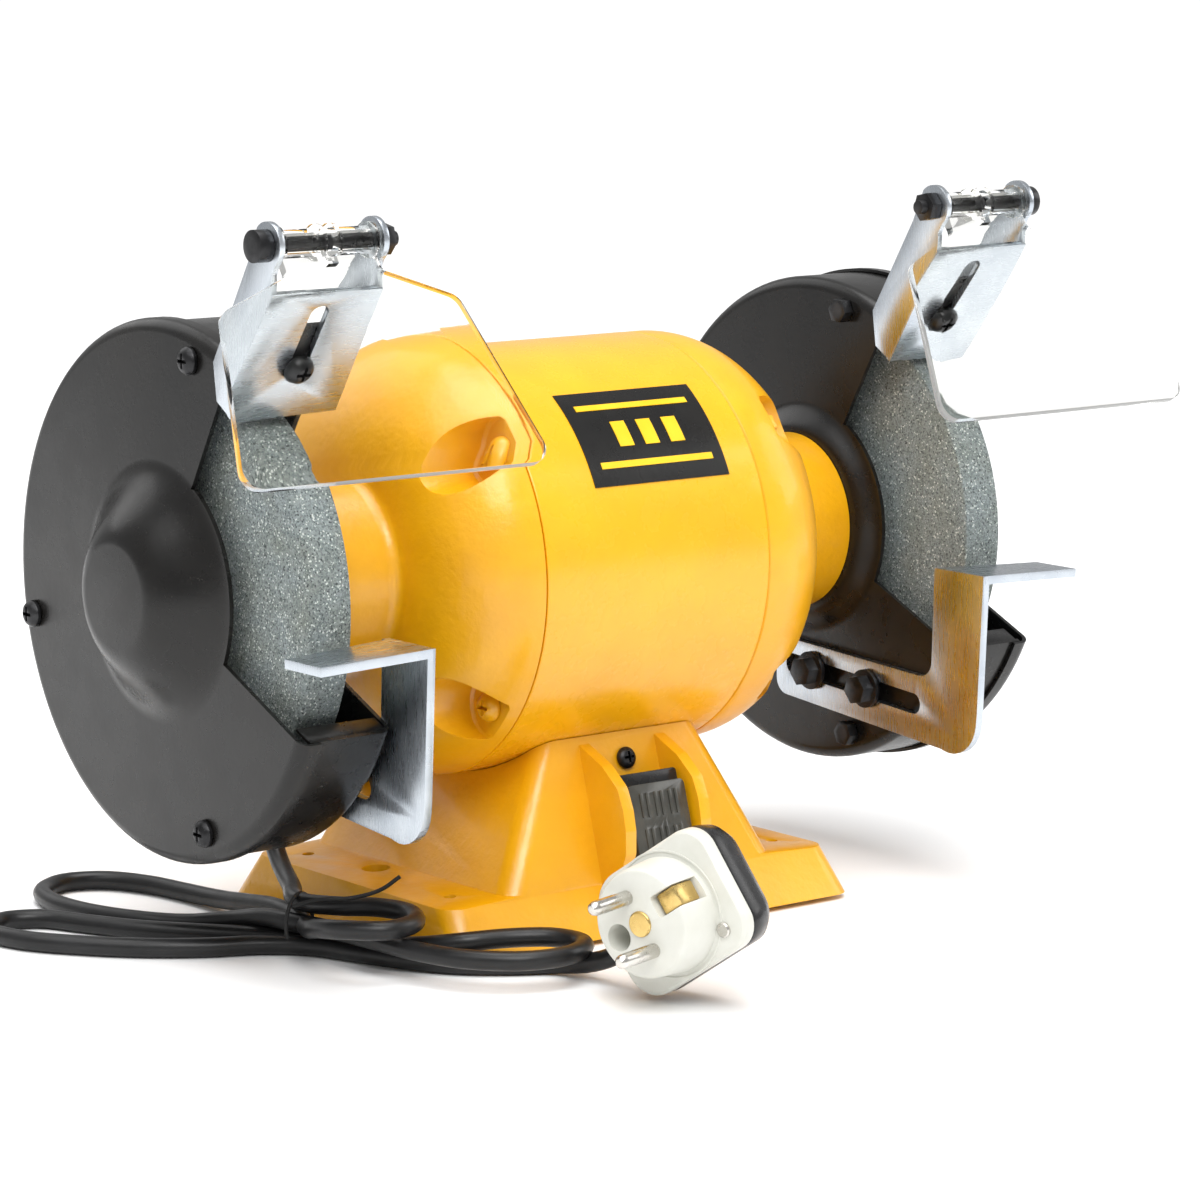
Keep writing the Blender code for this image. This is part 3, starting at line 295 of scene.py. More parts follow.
def overlay(tree, factor, below, colour):
    """A colour laid over another where the factor is high."""
    node = tree.nodes.new("ShaderNodeMix")
    node.data_type = "RGBA"
    node.inputs["B"].default_value = (*colour, 1.0)
    tree.links.new(factor, node.inputs["Factor"])
    tree.links.new(below, node.inputs["A"])
    return node.outputs["Result"]


def relief(tree, shader, height, depth_mm, strength=1.0):
    """Bump of a given depth in millimetres."""
    node = tree.nodes.new("ShaderNodeBump")
    node.inputs["Distance"].default_value = depth_mm * MM
    node.inputs["Strength"].default_value = strength
    tree.links.new(height, node.inputs["Height"])
    tree.links.new(node.outputs["Normal"], shader.inputs["Normal"])


def worn(name, low, high, grain, gloss, bump_scale, bump_mm, metallic=0.0, coat=0.0):
    """A surface whose colour and gloss drift over it and whose skin has a fine relief."""
    mat, tree, shader, coords = nodes_of(name)
    paint(tree, shader, noise(tree, coords, grain), low, high)
    gloss_by(tree, shader, noise(tree, coords, grain * 2.7), *gloss)
    relief(tree, shader, noise(tree, coords, bump_scale, 3.0), bump_mm)
    shader.inputs["Metallic"].default_value = metallic
    shader.inputs["Specular IOR Level"].default_value = 0.35
    shader.inputs["Coat Weight"].default_value = coat
    shader.inputs["Coat Roughness"].default_value = 0.12
    return mat


def stone(name, low, high, brown):
    """Vitrified abrasive: packed grains, a few of them white or nearly black, with open pores."""
    mat, tree, shader, coords = nodes_of(name)
    cells = tree.nodes.new("ShaderNodeTexVoronoi")
    cells.inputs["Scale"].default_value = 1900.0
    tree.links.new(coords, cells.inputs["Vector"])
    split = tree.nodes.new("ShaderNodeSeparateColor")
    tree.links.new(cells.outputs["Color"], split.inputs["Color"])
    mix = tree.nodes.new("ShaderNodeMix")
    mix.data_type, mix.blend_type = "RGBA", "MULTIPLY"
    mix.inputs["Factor"].default_value = 1.0
    stain = ramp(tree, noise(tree, coords, 60.0), (1.0, 1.0, 1.0), brown, 0.35, 0.75)
    tree.links.new(ramp(tree, split.outputs["Red"], low, high, 0.0, 1.0), mix.inputs["A"])
    tree.links.new(stain, mix.inputs["B"])
    part = (0.7, 0.7, 0.7)
    white = ramp(tree, split.outputs["Green"], NONE, part, 0.93, 0.95)
    black = ramp(tree, split.outputs["Blue"], NONE, part, 0.88, 0.93)
    grains = overlay(tree, white, mix.outputs["Result"], (0.75, 0.78, 0.74))
    tree.links.new(overlay(tree, black, grains, (0.02, 0.022, 0.025)), shader.inputs["Base Color"])
    gloss_by(tree, shader, split.outputs["Green"], 0.75, 1.0)
    relief(tree, shader, cells.outputs["Distance"], 0.5, 0.8)
    return mat


def cast_paint(name, deep, bright, pit_scale, pit_mm, gloss):
    """Yellow enamel that has run over a sand casting: an orange-peel skin with scattered pits."""
    mat, tree, shader, coords = nodes_of(name)
    paint(tree, shader, noise(tree, coords, 35.0, 6.0), deep, bright)
    gloss_by(tree, shader, noise(tree, coords, 120.0), *gloss)
    add = tree.nodes.new("ShaderNodeMath")
    add.operation = "ADD"
    tree.links.new(noise(tree, coords, pit_scale, 2.0), add.inputs[0])
    tree.links.new(noise(tree, coords, pit_scale * 0.22, 2.0), add.inputs[1])
    relief(tree, shader, add.outputs["Value"], pit_mm)
    shader.inputs["Coat Weight"].default_value = 0.35
    shader.inputs["Coat Roughness"].default_value = 0.15
    return mat


def clear_sheet(name, colour, scratch_mm):
    """Clear plastic with a few fine rubs in it."""
    mat, tree, shader, coords = nodes_of(name)
    paint(tree, shader, noise(tree, coords, 25.0), colour, (0.96, 0.96, 0.94))
    gloss_by(tree, shader, noise(tree, coords, 80.0, 8.0), 0.02, 0.09)
    relief(tree, shader, noise(tree, coords, 300.0), scratch_mm)
    shader.inputs["Transmission Weight"].default_value = 1.0
    shader.inputs["IOR"].default_value = 1.12
    return mat


def streaked(name, low, high, gloss):
    """Rolled and plated sheet: long faint streaks with cloudy tarnish."""
    mat, tree, shader, coords = nodes_of(name)
    mapping = tree.nodes.new("ShaderNodeMapping")
    mapping.inputs["Scale"].default_value = (1.0, 14.0, 1.0)
    tree.links.new(coords, mapping.inputs["Vector"])
    paint(tree, shader, noise(tree, coords, 45.0, 5.0), low, high)
    streak = noise(tree, mapping.outputs["Vector"], 90.0, 6.0)
    gloss_by(tree, shader, streak, *gloss)
    relief(tree, shader, streak, 0.008)
    shader.inputs["Metallic"].default_value = 1.0
    return mat


def banded(name, low, high):
    """A stack of thin stampings seen on edge."""
    mat, tree, shader, coords = nodes_of(name)
    wave = tree.nodes.new("ShaderNodeTexWave")
    wave.bands_direction = "X"
    wave.inputs["Scale"].default_value = 320.0
    wave.inputs["Distortion"].default_value = 0.4
    tree.links.new(coords, wave.inputs["Vector"])
    paint(tree, shader, wave.outputs["Fac"], low, high, 0.1, 0.9)
    gloss_by(tree, shader, noise(tree, coords, 90.0), 0.35, 0.6)
    relief(tree, shader, wave.outputs["Fac"], 0.1)
    shader.inputs["Metallic"].default_value = 1.0
    return mat


def make_materials():
    """One finish for each of the record's slots, and a few for the added trim."""
    rows = (
        (cast_paint, "yellow_cast", (0.76, 0.35, 0.002), (0.86, 0.42, 0.003), 420.0, 0.16, (0.28, 0.42)),
        (cast_paint, "yellow_tube", (0.80, 0.38, 0.002), (0.87, 0.43, 0.003), 600.0, 0.02, (0.22, 0.32)),
        (worn, "black_steel", (0.004, 0.004, 0.004), (0.009, 0.008, 0.007), 30.0, (0.22, 0.34), 500.0, 0.03),
        (worn, "black_bolt", (0.015, 0.015, 0.016), (0.05, 0.05, 0.052), 120.0, (0.25, 0.45), 700.0, 0.03,
         0.8),
        (streaked, "zinc_plate", (0.44, 0.48, 0.53), (0.58, 0.62, 0.66), (0.24, 0.32)),
        (streaked, "bright_steel", (0.48, 0.48, 0.48), (0.62, 0.62, 0.61), (0.20, 0.34)),
        (stone, "grinding_stone", (0.14, 0.17, 0.17), (0.29, 0.33, 0.33), (0.88, 0.84, 0.74)),
        (clear_sheet, "clear_plastic", (0.90, 0.90, 0.87), 0.01),
        (banded, "lamination", (0.18, 0.18, 0.19), (0.42, 0.42, 0.44)),
        (worn, "capacitor_skin", (0.42, 0.42, 0.44), (0.55, 0.55, 0.57), 60.0, (0.3, 0.45), 300.0, 0.02, 0.9),
        (worn, "black_plastic", (0.012, 0.012, 0.012), (0.020, 0.020, 0.021), 80.0, (0.18, 0.34), 900.0,
         0.02),
        (worn, "boot_plastic", (0.035, 0.035, 0.030), (0.075, 0.073, 0.062), 90.0, (0.10, 0.22), 500.0,
         0.03, 0.0, 0.4),
        (worn, "rubber", (0.014, 0.014, 0.014), (0.028, 0.028, 0.028), 70.0, (0.60, 0.80), 900.0, 0.05),
        (worn, "cord_jacket", (0.010, 0.010, 0.010), (0.018, 0.018, 0.019), 60.0, (0.28, 0.42), 800.0, 0.03),
        (worn, "plug_white", (0.58, 0.58, 0.52), (0.66, 0.66, 0.61), 60.0, (0.28, 0.40), 700.0, 0.02),
        (worn, "brass", (0.52, 0.34, 0.10), (0.72, 0.52, 0.20), 90.0, (0.22, 0.38), 500.0, 0.02, 1.0),
        (worn, "nickel", (0.50, 0.48, 0.44), (0.66, 0.64, 0.60), 90.0, (0.18, 0.32), 500.0, 0.02, 1.0),
        (worn, "badge_yellow", (0.85, 0.47, 0.01), (0.93, 0.55, 0.02), 60.0, (0.30, 0.42), 500.0, 0.01),
        (worn, "floor", (0.93, 0.93, 0.93), (0.96, 0.96, 0.96), 2.0, (0.70, 0.80), 40.0, 0.02),
    )
    return {row[1]: row[0](*row[1:]) for row in rows}


# ---------------------------------------------------------------- mesh tools

def place(bm, name, mat, matrix=None):
    """Turn a bmesh in millimetres into a named object in metres."""
    if matrix is not None:
        bmesh.ops.transform(bm, matrix=matrix, verts=bm.verts)
    bmesh.ops.recalc_face_normals(bm, faces=bm.faces)
    bmesh.ops.scale(bm, vec=(MM, MM, MM), verts=bm.verts)
    mesh = bpy.data.meshes.new(name)
    bm.to_mesh(mesh)
    bm.free()
    obj = bpy.data.objects.new(name, mesh)
    if mat is not None:
        mesh.materials.append(mat)
    bpy.context.scene.collection.objects.link(obj)
    return obj


def turned(name, mat, profile, steps, centre=NONE, side=1.0, matrix=None, phase=0.0):
    """A turned piece whose axis runs along X through centre; side -1 mirrors it to the left."""
    bm = bmesh.new()
    add_turned(bm, [(p[0] * side, *p[1:]) for p in profile], steps, centre, phase)
    return place(bm, name, mat, matrix)


def sheet(name, mat, outline, x0, x1, matrix=None):
    """A flat piece with a (y, z) outline, from x0 to x1."""
    bm = bmesh.new()
    add_loft(bm, [[(x0, y, z) for y, z in outline], [(x1, y, z) for y, z in outline]])
    return place(bm, name, mat, matrix)


def combine(obj, tool, operation="DIFFERENCE"):
    """Cut a tool from an object, or join it to the object."""
    boolean = obj.modifiers.new(tool.name, "BOOLEAN")
    boolean.operation = operation
    boolean.solver = "EXACT"
    boolean.object = tool


def add_collars(obj, collars, matrix, phase):
    """Join heads, washers and nuts, each (x0, x1, radius, number of sides), to a turned piece."""
    for i, (x0, x1, radius, sides) in enumerate(collars):
        tool = turned(f"{obj.name}_{i}", None, rod(x0, x1, radius), sides, matrix=matrix, phase=phase)
        combine(obj, tool, "UNION")


def hole(obj, name, x0, x1, radius, y, z, side):
    """A round hole along X."""
    combine(obj, turned(name, None, rod(x0, x1, radius), 24, (0.0, y, z), side, phase=0.1))


def settle(obj, bevel=0.0, segments=2, sharp=32.0):
    """Fix an object's cuts into its mesh, soften its edges and shade it smooth."""
    tools = [m.object for m in obj.modifiers if m.type == "BOOLEAN"]
    if bevel > 0.0:
        edge = obj.modifiers.new("edge", "BEVEL")
        edge.width = bevel * MM
        edge.segments = segments
        edge.limit_method = "ANGLE"
        edge.angle_limit = math.radians(sharp)
        edge.use_clamp_overlap = True
    bpy.context.view_layer.update()
    graph = bpy.context.evaluated_depsgraph_get()
    mesh = bpy.data.meshes.new_from_object(obj.evaluated_get(graph), depsgraph=graph)
    obj.modifiers.clear()
    mats = list(obj.data.materials)
    obj.data = mesh
    mesh.materials.clear()
    for mat in mats[:1]:
        mesh.materials.append(mat)
    for polygon in mesh.polygons:
        polygon.material_index = 0
    for tool in tools:
        bpy.data.objects.remove(tool)
    mesh.shade_smooth()
    mesh.set_sharp_from_angle(angle=math.radians(sharp))
    return obj


def dress(obj, body, slot_name, *replaced):
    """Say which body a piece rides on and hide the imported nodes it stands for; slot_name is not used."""
    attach(obj, body)
    if replaced:
        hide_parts(*replaced)
    return obj


# ---------------------------------------------------------------- stage

def make_stage(mats):
    """Floor, soft lights, a background that the camera alone sees as white, and the camera."""
    bm = bmesh.new()
    bmesh.ops.create_grid(bm, x_segments=8, y_segments=8, size=6000.0)
    floor = place(bm, "floor", mats["floor"])

    lights = (("key", (-700.0, -1300.0, 1500.0), 900.0, 16.0),
              ("top", (100.0, 100.0, 1700.0), 1100.0, 10.0),
              ("fill", (1500.0, -700.0, 900.0), 900.0, 6.0),
              ("rear", (-300.0, 1500.0, 1300.0), 1300.0, 6.0))
    for name, spot, size, power in lights:
        lamp = bpy.data.lights.new(name, "AREA")
        lamp.size = size * MM
        lamp.energy = power
        obj = bpy.data.objects.new(name, lamp)
        obj.location = Vector(spot) * MM
        aim = Vector((0.0, 0.0, 110.0)) * MM - obj.location
        obj.rotation_euler = aim.to_track_quat("-Z", "Y").to_euler()
        bpy.context.scene.collection.objects.link(obj)
    world = bpy.data.worlds.new("studio")
    world.use_nodes = True
    tree = world.node_tree
    tree.nodes["Background"].inputs["Color"].default_value = (1.0, 1.0, 1.0, 1.0)
    path = tree.nodes.new("ShaderNodeLightPath")
    level = tree.nodes.new("ShaderNodeMapRange")
    level.inputs["To Min"].default_value = 0.50
    level.inputs["To Max"].default_value = 1.05
    tree.links.new(path.outputs["Is Camera Ray"], level.inputs["Value"])
    tree.links.new(level.outputs["Result"], tree.nodes["Background"].inputs["Strength"])
    sun = bpy.data.lights.new("sky", "SUN")
    sun.energy = 2.2
    sun.angle = math.radians(70.0)
    sky = bpy.data.objects.new("sky", sun)
    sky.rotation_euler = (math.radians(12.0), math.radians(-14.0), 0.0)
    bpy.context.scene.collection.objects.link(sky)
    bpy.context.scene.world = world
    bpy.context.scene.view_settings.view_transform = "Standard"

    lens = bpy.data.cameras.new("camera")
    lens.lens, lens.sensor_width = 129.48, 36.0
    lens.clip_start, lens.clip_end = 0.05, 50.0
    camera = bpy.data.objects.new("camera", lens)
    level_part = math.cos(CAMERA_ELEVATION)
    back = Vector((math.sin(CAMERA_AZIMUTH) * level_part, -math.cos(CAMERA_AZIMUTH) * level_part,
                   math.sin(CAMERA_ELEVATION)))
    right = Vector((math.cos(CAMERA_AZIMUTH), math.sin(CAMERA_AZIMUTH), 0.0))
    camera.matrix_world = local_frame(Vector(CAMERA_AT), right, back.cross(right), back)
    bpy.context.scene.collection.objects.link(camera)
    bpy.context.scene.camera = camera


# ---------------------------------------------------------------- cord and plug

def tube_curve(name, mat, points, radius, cyclic=False):
    """A round curve through points, in one spline."""
    curve = bpy.data.curves.new(name, "CURVE")
    curve.dimensions = "3D"
    curve.bevel_depth = radius * MM
    curve.bevel_resolution = 5
    curve.use_fill_caps = True
    spline = curve.splines.new("POLY")
    spline.points.add(len(points) - 1)
    for target, point in zip(spline.points, points):
        target.co = (*(Vector(point) * MM), 1.0)
    spline.use_cyclic_u = cyclic
    spline.use_smooth = True
    curve.materials.append(mat)
    obj = bpy.data.objects.new(name, curve)
    bpy.context.scene.collection.objects.link(obj)
    return obj


def make_plug(mats):
    """White face with its pins and earth clips, and the black rear shell."""
    across = PIN_AXIS.cross(PIN_ROW)
    turn = local_frame(PLUG_POINT - PIN_ROW * 26.0 + across * 14.0, PIN_AXIS, PIN_ROW, across)
    pieces = []

    def plate(h, inset):
        half, width = 21.0 - inset, 26.0 - inset
        outline = rounded([(half, width, 9.0), (-half, width, 9.0), (-half, -width, 13.0),
                           (half, -width, 11.0)], 10)
        return [(h, p, q) for p, q in outline]

    def keep(obj, bevel=0.0, slot_name="plug_white", *replaced):
        pieces.append(dress(settle(obj, bevel), "root", slot_name, *replaced))

    bm = bmesh.new()
    add_loft(bm, [plate(-5.0, 0.0), plate(-1.0, 0.0), plate(0.0, 0.9)])
    face = place(bm, "plug_white_face", mats["plug_white"], turn)
    boss = [(-2.0, 0.0), (-2.0, 19.0), (13.6, 17.8), (14.8, 17.0), (15.0, 16.0), (15.0, 0.0)]
    combine(face, turned("boss", None, boss, 72, matrix=turn), "UNION")
    lower = turn @ Matrix.Translation((0.0, 0.0, -10.0))
    combine(face, turned("earth_well", None, rod(4.0, 20.0, 4.4), 32, matrix=lower))
    window = rounded([(-5.5, 8.0, 1.0), (-5.5, 24.0, 1.0), (2.0, 24.0, 1.0), (2.0, 8.0, 1.0)], 3)
    combine(face, sheet("clip_window", None, window, 2.0, 20.0, turn))
    keep(face, 0.4, "plug_white", "plug_face")

    clip = [(-5.2, 9.0), (-5.2, 17.0), (1.7, 17.0), (1.7, 9.0)]
    keep(sheet("plug_earth_clip", mats["brass"], clip, 3.0, 13.0, turn), 0.8)
    disc = [(13.0, 0.0), (13.0, 4.2), (15.4, 4.2), (15.8, 3.8), (15.8, 0.0)]
    keep(turned("plug_centre_disc", mats["brass"], disc, 32, matrix=turn), 0.2)
    pin = [(10.0, 0.0), (10.0, PIN_R), (31.5, PIN_R), (33.0, 2.0), (33.8, 1.2), (34.0, 0.0)]
    for i, p in enumerate((-9.4, 9.4)):
        keep(turned(f"plug_pin_{i}", mats["nickel"], pin, 24, (0.0, p, 0.0), matrix=turn))
    screw = [(-1.0, 0.0), (-1.0, 2.5), (0.6, 2.5), (1.0, 2.0), (1.0, 0.0)]
    keep(turned("plug_screw", mats["nickel"], screw, 24, (0.0, 13.7, 16.9), matrix=turn))
    ring = [(-1.0, 20.2), (-1.0, 21.0), (0.35, 21.0), (0.35, 20.2)]
    keep(turned("plug_face_ring", mats["plug_white"], ring, 72, matrix=turn), 0.15)

    bm = bmesh.new()
    stack = ((-5.3, 0.0), (-9.0, 0.0), (-14.0, 0.6), (-18.5, 2.4), (-21.0, 4.2), (-22.0, 6.0))
    add_loft(bm, [plate(h, inset) for h, inset in stack])
    keep(place(bm, "plug_black_shell", mats["black_plastic"], turn), 0.5, "black_plastic", "plug_rear")
    return pieces


def make_cord(mats):
    """The free lead, the tie that gathers it and the strain relief it comes out of."""
    points = smooth_route(CORD_ROUTE, CORD_POINTS)
    cord = tube_curve("mains_lead", mats["cord_jacket"], points, CORD_R)
    dress(cord, "root", "cord_jacket", "power_cord")

    centre, along = Vector((-112.5, -13.0, 10.3)), Vector((-0.42, 0.9, 0.0)).normalized()
    across, loop = along.cross(Vector((0.0, 0.0, 1.0))), []
    for i in range(48):
        angle = 2.0 * math.pi * i / 48
        loop.append(centre + across * (8.6 * math.cos(angle)) + Vector((0.0, 0.0, 9.6 * math.sin(angle))))
    tie = tube_curve("lead_tie", mats["rubber"], loop, TIE_R, cyclic=True)
    dress(tie, "root", "cord_jacket")
    tail = smooth_route(((-119.0, -19.0, 17.5), (-114.0, -27.0, 20.5), (-106.0, -35.0, 21.5),
                         (-98.0, -40.0, 24.0), (-93.0, -44.0, 28.5)), 24)
    end = tube_curve("lead_tie_tail", mats["rubber"], tail, TIE_R)
    dress(end, "root", "cord_jacket")

    gland = [(45.0, 0.0), (45.0, 4.9), (54.6, 4.9), (54.6, 7.0), (57.5, 7.0), (58.3, 6.2)]
    for i in range(5):
        x = 58.6 + 2.4 * i
        gland += [(x, 5.6 - 0.25 * i), (x + 1.3, 5.5 - 0.25 * i),
                  (x + 1.5, 4.7 - 0.2 * i), (x + 2.2, 4.6 - 0.2 * i)]
    gland += [(71.0, 4.2), (71.0, 0.0)]
    boot = turned("lead_strain_relief", mats["rubber"], gland, 40, (0.0, GLAND_Y, GLAND_Z), -1.0)
    dress(settle(boot), "root", "rubber", "cord_gland")

    make_plug(mats)


# ---------------------------------------------------------------- base and switch

def rectangle(half_x, half_y, z, radius):
    """A rounded rectangle at height z."""
    corners = [(half_x, half_y, radius), (-half_x, half_y, radius),
               (-half_x, -half_y, radius), (half_x, -half_y, radius)]
    return [(x, y, z) for x, y in rounded(corners)]


def front_block(name, mat, half_x, low, high, inner, outer, radius=0.0, middle=0.0, steps=5):
    """A block on the sloping front: low to high along it, inner to outer out of it."""
    bm = bmesh.new()
    left, right = middle - half_x, middle + half_x
    outline = rounded([(left, low, radius), (right, low, radius), (right, high, radius),
                       (left, high, radius)], steps)
    add_loft(bm, [[(x, v, inner) for x, v in outline], [(x, v, outer) for x, v in outline]])
    return place(bm, name, mat, front_frame())


def make_base(mats):
    """Cast base with soft edges, saddle, switch cheeks and its holes."""
    bm = bmesh.new()
    add_loft(bm, [rectangle(86.5, 69.0, RIM_Z, 8.0), rectangle(83.5, 58.3, LEDGE_Z, 8.0),
                  rectangle(58.7, 58.2, LEDGE_Z + 1.2, 8.0), rectangle(32.3, 43.7, 70.0, 6.0)])
    base = place(bm, "cast_base", mats["yellow_cast"])
    bm = bmesh.new()
    add_loft(bm, [rectangle(54.3, 58.0, RIM_Z - 3.0, 6.0), rectangle(54.7, 53.9, LEDGE_Z - 3.0, 6.0),
                  rectangle(39.5, 45.6, 46.0, 6.0)])
    combine(base, place(bm, "hollow", None))
    bm = bmesh.new()
    add_loft(bm, [rectangle(58.7, 60.7, RIM_Z - 2.0, 6.0), rectangle(58.7, 60.7, RIM_Z + 1.5, 6.0)])
    combine(base, place(bm, "plate_recess", None))
    for label, side in SIDES:
        low = [(x + 71.25 * side, y, z) for x, y, z in rectangle(11.25, 64.0, RIM_Z - 3.0, 5.0)]
        high = [(x + 69.75 * side, y, z) for x, y, z in rectangle(9.75, 54.0, 13.5, 5.0)]
        bm = bmesh.new()
        add_loft(bm, [low, high])
        combine(base, place(bm, "ledge_pocket_" + label, None))
    for label, side in SIDES:
        cheek = rounded([(-44.5, 64.5, 0.0), (-58.0, 58.8, 6.0), (-66.5, 52.3, 6.0), (-69.8, 45.0, 6.0),
                         (-71.3, 38.0, 5.0), (-71.3, 30.0, 5.0), (-68.5, 23.0, 5.0), (-61.0, 17.6, 0.0),
                         (-54.0, 18.6, 0.0), (-44.0, 52.0, 0.0), (-41.6, 63.5, 0.0)], 5)
        combine(base, sheet("cheek_" + label, None, cheek, 14.2 * side, 18.7 * side), "UNION")
    saddle = rod(-80.0, 80.0, TUBE_R + GAP)
    combine(base, turned("saddle", None, saddle, 160, (0.0, 0.0, SPINDLE_Z), phase=0.01))
    combine(base, front_block("window", None, 13.3, -37.3, -2.9, -16.0, 3.0))
    combine(base, turned("cord_hole", None, rod(40.0, 60.0, 5.2), 24, (0.0, GLAND_Y, GLAND_Z), -1.0))
    upright = Matrix.Rotation(-math.pi / 2, 4, "Y")
    for i, (x, y, radius) in enumerate(((-66.0, 8.0, 5.0), (66.0, 8.0, 5.0), (-71.0, -42.0, 2.2),
                                        (71.0, -42.0, 2.2), (-71.0, 42.0, 2.2), (71.0, 42.0, 2.2))):
        turn = Matrix.Translation((x, y, 0.0)) @ upright
        combine(base, turned(f"ledge_hole_{i}", None, rod(8.0, 24.0, radius), 32, matrix=turn))
    dress(settle(base, 1.0, 3), "root", "yellow_cast", "base_casting")


def make_switch(mats):
    """The rocker switch, its ridged clear cover and the panel screw."""
    body = front_block("switch_frame", mats["black_plastic"], 13.0, -37.0, -3.2, -14.0, 10.3, 1.2)
    combine(body, front_block("rocker_well", None, 9.1, -30.4, -10.0, 1.2, 12.0))
    dress(settle(body, 0.4), "root", "black_plastic", "switch_body")

    boot = front_block("switch_cover", mats["boot_plastic"], 12.2, -34.0, -7.4, 10.6, 14.4, 2.0)
    combine(boot, front_block("boot_hollow", None, 10.6, -32.4, -9.0, 9.0, 13.2, 1.0))
    for row in (-27.0, -14.8):
        for column in (-6.2, 0.0, 6.2):
            for half in (-1.3, 1.3):
                rib = front_block("rib", None, 0.7, row - 4.2, row + 4.2, 14.0, 15.0, 0.5, column + half, 3)
                combine(boot, rib, "UNION")
    dress(settle(boot, 0.25), "root", "boot_plastic", "switch_boot")

    screw = cross_screw("panel_screw", mats["black_bolt"], panel_screw_frame(), GAP, 3.8, 2.4, 1.8, -9.0)
    dress(screw, "root", "black_bolt", "switch_panel_screw")


def cross_screw(name, mat, matrix, seat, head_r, height, shank_r, shank_end, *nuts):
    """A round-headed screw with a cross recess; local +x points out of the head."""
    head = [(seat, head_r), (seat + height * 0.35, head_r), (seat + height * 0.75, head_r * 0.82),
            (seat + height, head_r * 0.5), (seat + height, 0.0)]
    profile = [(shank_end, 0.0), (shank_end, shank_r), (seat, shank_r)] + head
    screw = turned(name, mat, profile, 32, matrix=matrix)
    for i, (a, b) in enumerate(((0.55, 0.12), (0.12, 0.55))):
        y, z = head_r * a, head_r * b
        bar = [(-y, -z), (y, -z), (y, z), (-y, z)]
        bottom, top = seat + height * 0.45, seat + height + 1.0
        combine(screw, sheet(f"{name}_cross_{i}", None, bar, bottom, top, matrix))
    add_collars(screw, nuts, matrix, 0.1)
    return settle(screw, 0.15)


# ---------------------------------------------------------------- motor

def make_motor(mats):
    """Smooth tube with its badge, the two bells with their bolt recesses, and the long bolts."""
    centre = (0.0, 0.0, SPINDLE_Z)
    inner = TUBE_R - 2.5
    profile = [(-TUBE_LEFT + GAP, TUBE_R - 0.3), (-TUBE_LEFT + 0.7, TUBE_R), (TUBE_RIGHT - 0.7, TUBE_R),
               (TUBE_RIGHT - GAP, TUBE_R - 0.3), (TUBE_RIGHT - GAP, inner), (-TUBE_LEFT + GAP, inner)]
    tube = turned("motor_tube", mats["yellow_tube"], profile, 160, centre)
    dress(settle(tube), "root", "yellow_tube", "motor_housing")

    for (label, side), mouth in zip(SIDES, (TUBE_LEFT, TUBE_RIGHT)):
        drop = TUBE_R - NECK_R - 3.0
        outline = [(mouth, 0.0), (mouth, TUBE_R - 0.8), (mouth + 0.6, TUBE_R - 0.1)]
        for i in range(25):
            part = math.sin(math.pi / 2 * i / 24)
            x = SHOULDER_X + SHOULDER_LENGTH * part
            if x > mouth + 1.0:
                outline.append((x, TUBE_R - drop + drop * math.sqrt(max(0.0, 1.0 - part * part))))
        outline += [(84.6, NECK_R + 1.9), (86.0, NECK_R + 0.7), (88.5, NECK_R), (NECK_END, NECK_R),
                    (NECK_END, 10.5), (106.3, 10.5), (106.3, 16.2), (94.3, 16.2), (94.3, 0.0)]
        bell = turned("bell_" + label, mats["yellow_cast"], outline, 128, centre, side)
        hollow = [(mouth - 2.0, 0.0), (mouth - 2.0, TUBE_R - 4.0), (RECESS_FLOOR - 5.0, TUBE_R - 4.0),
                  (RECESS_FLOOR - 4.0, 53.0), (76.0, 42.0), (81.0, 25.0), (95.3, 20.0), (95.3, 0.0)]
        combine(bell, turned("hollow_" + label, None, hollow, 48, centre, side, phase=0.02))
        for i, (y, z) in enumerate(((-1, -1), (-1, 1), (1, -1), (1, 1))):
            recess = [(49.0, 0.0), (49.0, 2.9), (RECESS_FLOOR, 2.9), (RECESS_FLOOR, RECESS_R - 1.0),
                      (RECESS_FLOOR + 1.0, RECESS_R), (95.0, RECESS_R + 1.5), (95.0, 0.0)]
            spot = (0.0, y * BOLT_Y, SPINDLE_Z + z * BOLT_Z)
            combine(bell, turned(f"recess_{label}_{i}", None, recess, 48, spot, side, phase=0.03))
        dress(settle(bell, 1.2, 3, 28.0), "root", "yellow_cast", "end_bell_" + label)

    for end, y in (("front", -BOLT_Y), ("rear", BOLT_Y)):
        for level, z in (("upper", BOLT_Z), ("lower", -BOLT_Z)):
            seat = RECESS_FLOOR + GAP
            tip = -(seat + 4.4)
            bolt = cross_screw(f"long_bolt_{level}_{end}", mats["yellow_cast"],
                               spindle_frame(y, SPINDLE_Z + z, True), seat, 5.0, 4.0, 2.4,
                               tip, (tip, -seat, 4.9, NUT_SIDES))
            dress(bolt, "root", "yellow_cast", f"housing_bolt_{level}_{end}")
    make_badge(mats)


def make_badge(mats):
    """A plain dark plate on the tube with two yellow rules and a row of three bars."""
    plate = bent_strip("badge_plate", mats["black_steel"], -28.0, 30.0, 24.7, 54.0, 0.35, 16)
    dress(plate, "root", "black_steel")
    for name, low, high in (("badge_rule_lower", 29.5, 31.3), ("badge_rule_upper", 47.4, 49.2)):
        dress(bent_strip(name, mats["badge_yellow"], -23.0, 25.0, low, high, 0.6), "root", "yellow_tube")
    for i in range(3):
        x = -12.0 + 11.0 * i
        bar = bent_strip(f"badge_bar_{i}", mats["badge_yellow"], x, x + 6.0, 35.5, 43.2, 0.6)
        dress(bar, "root", "yellow_tube")


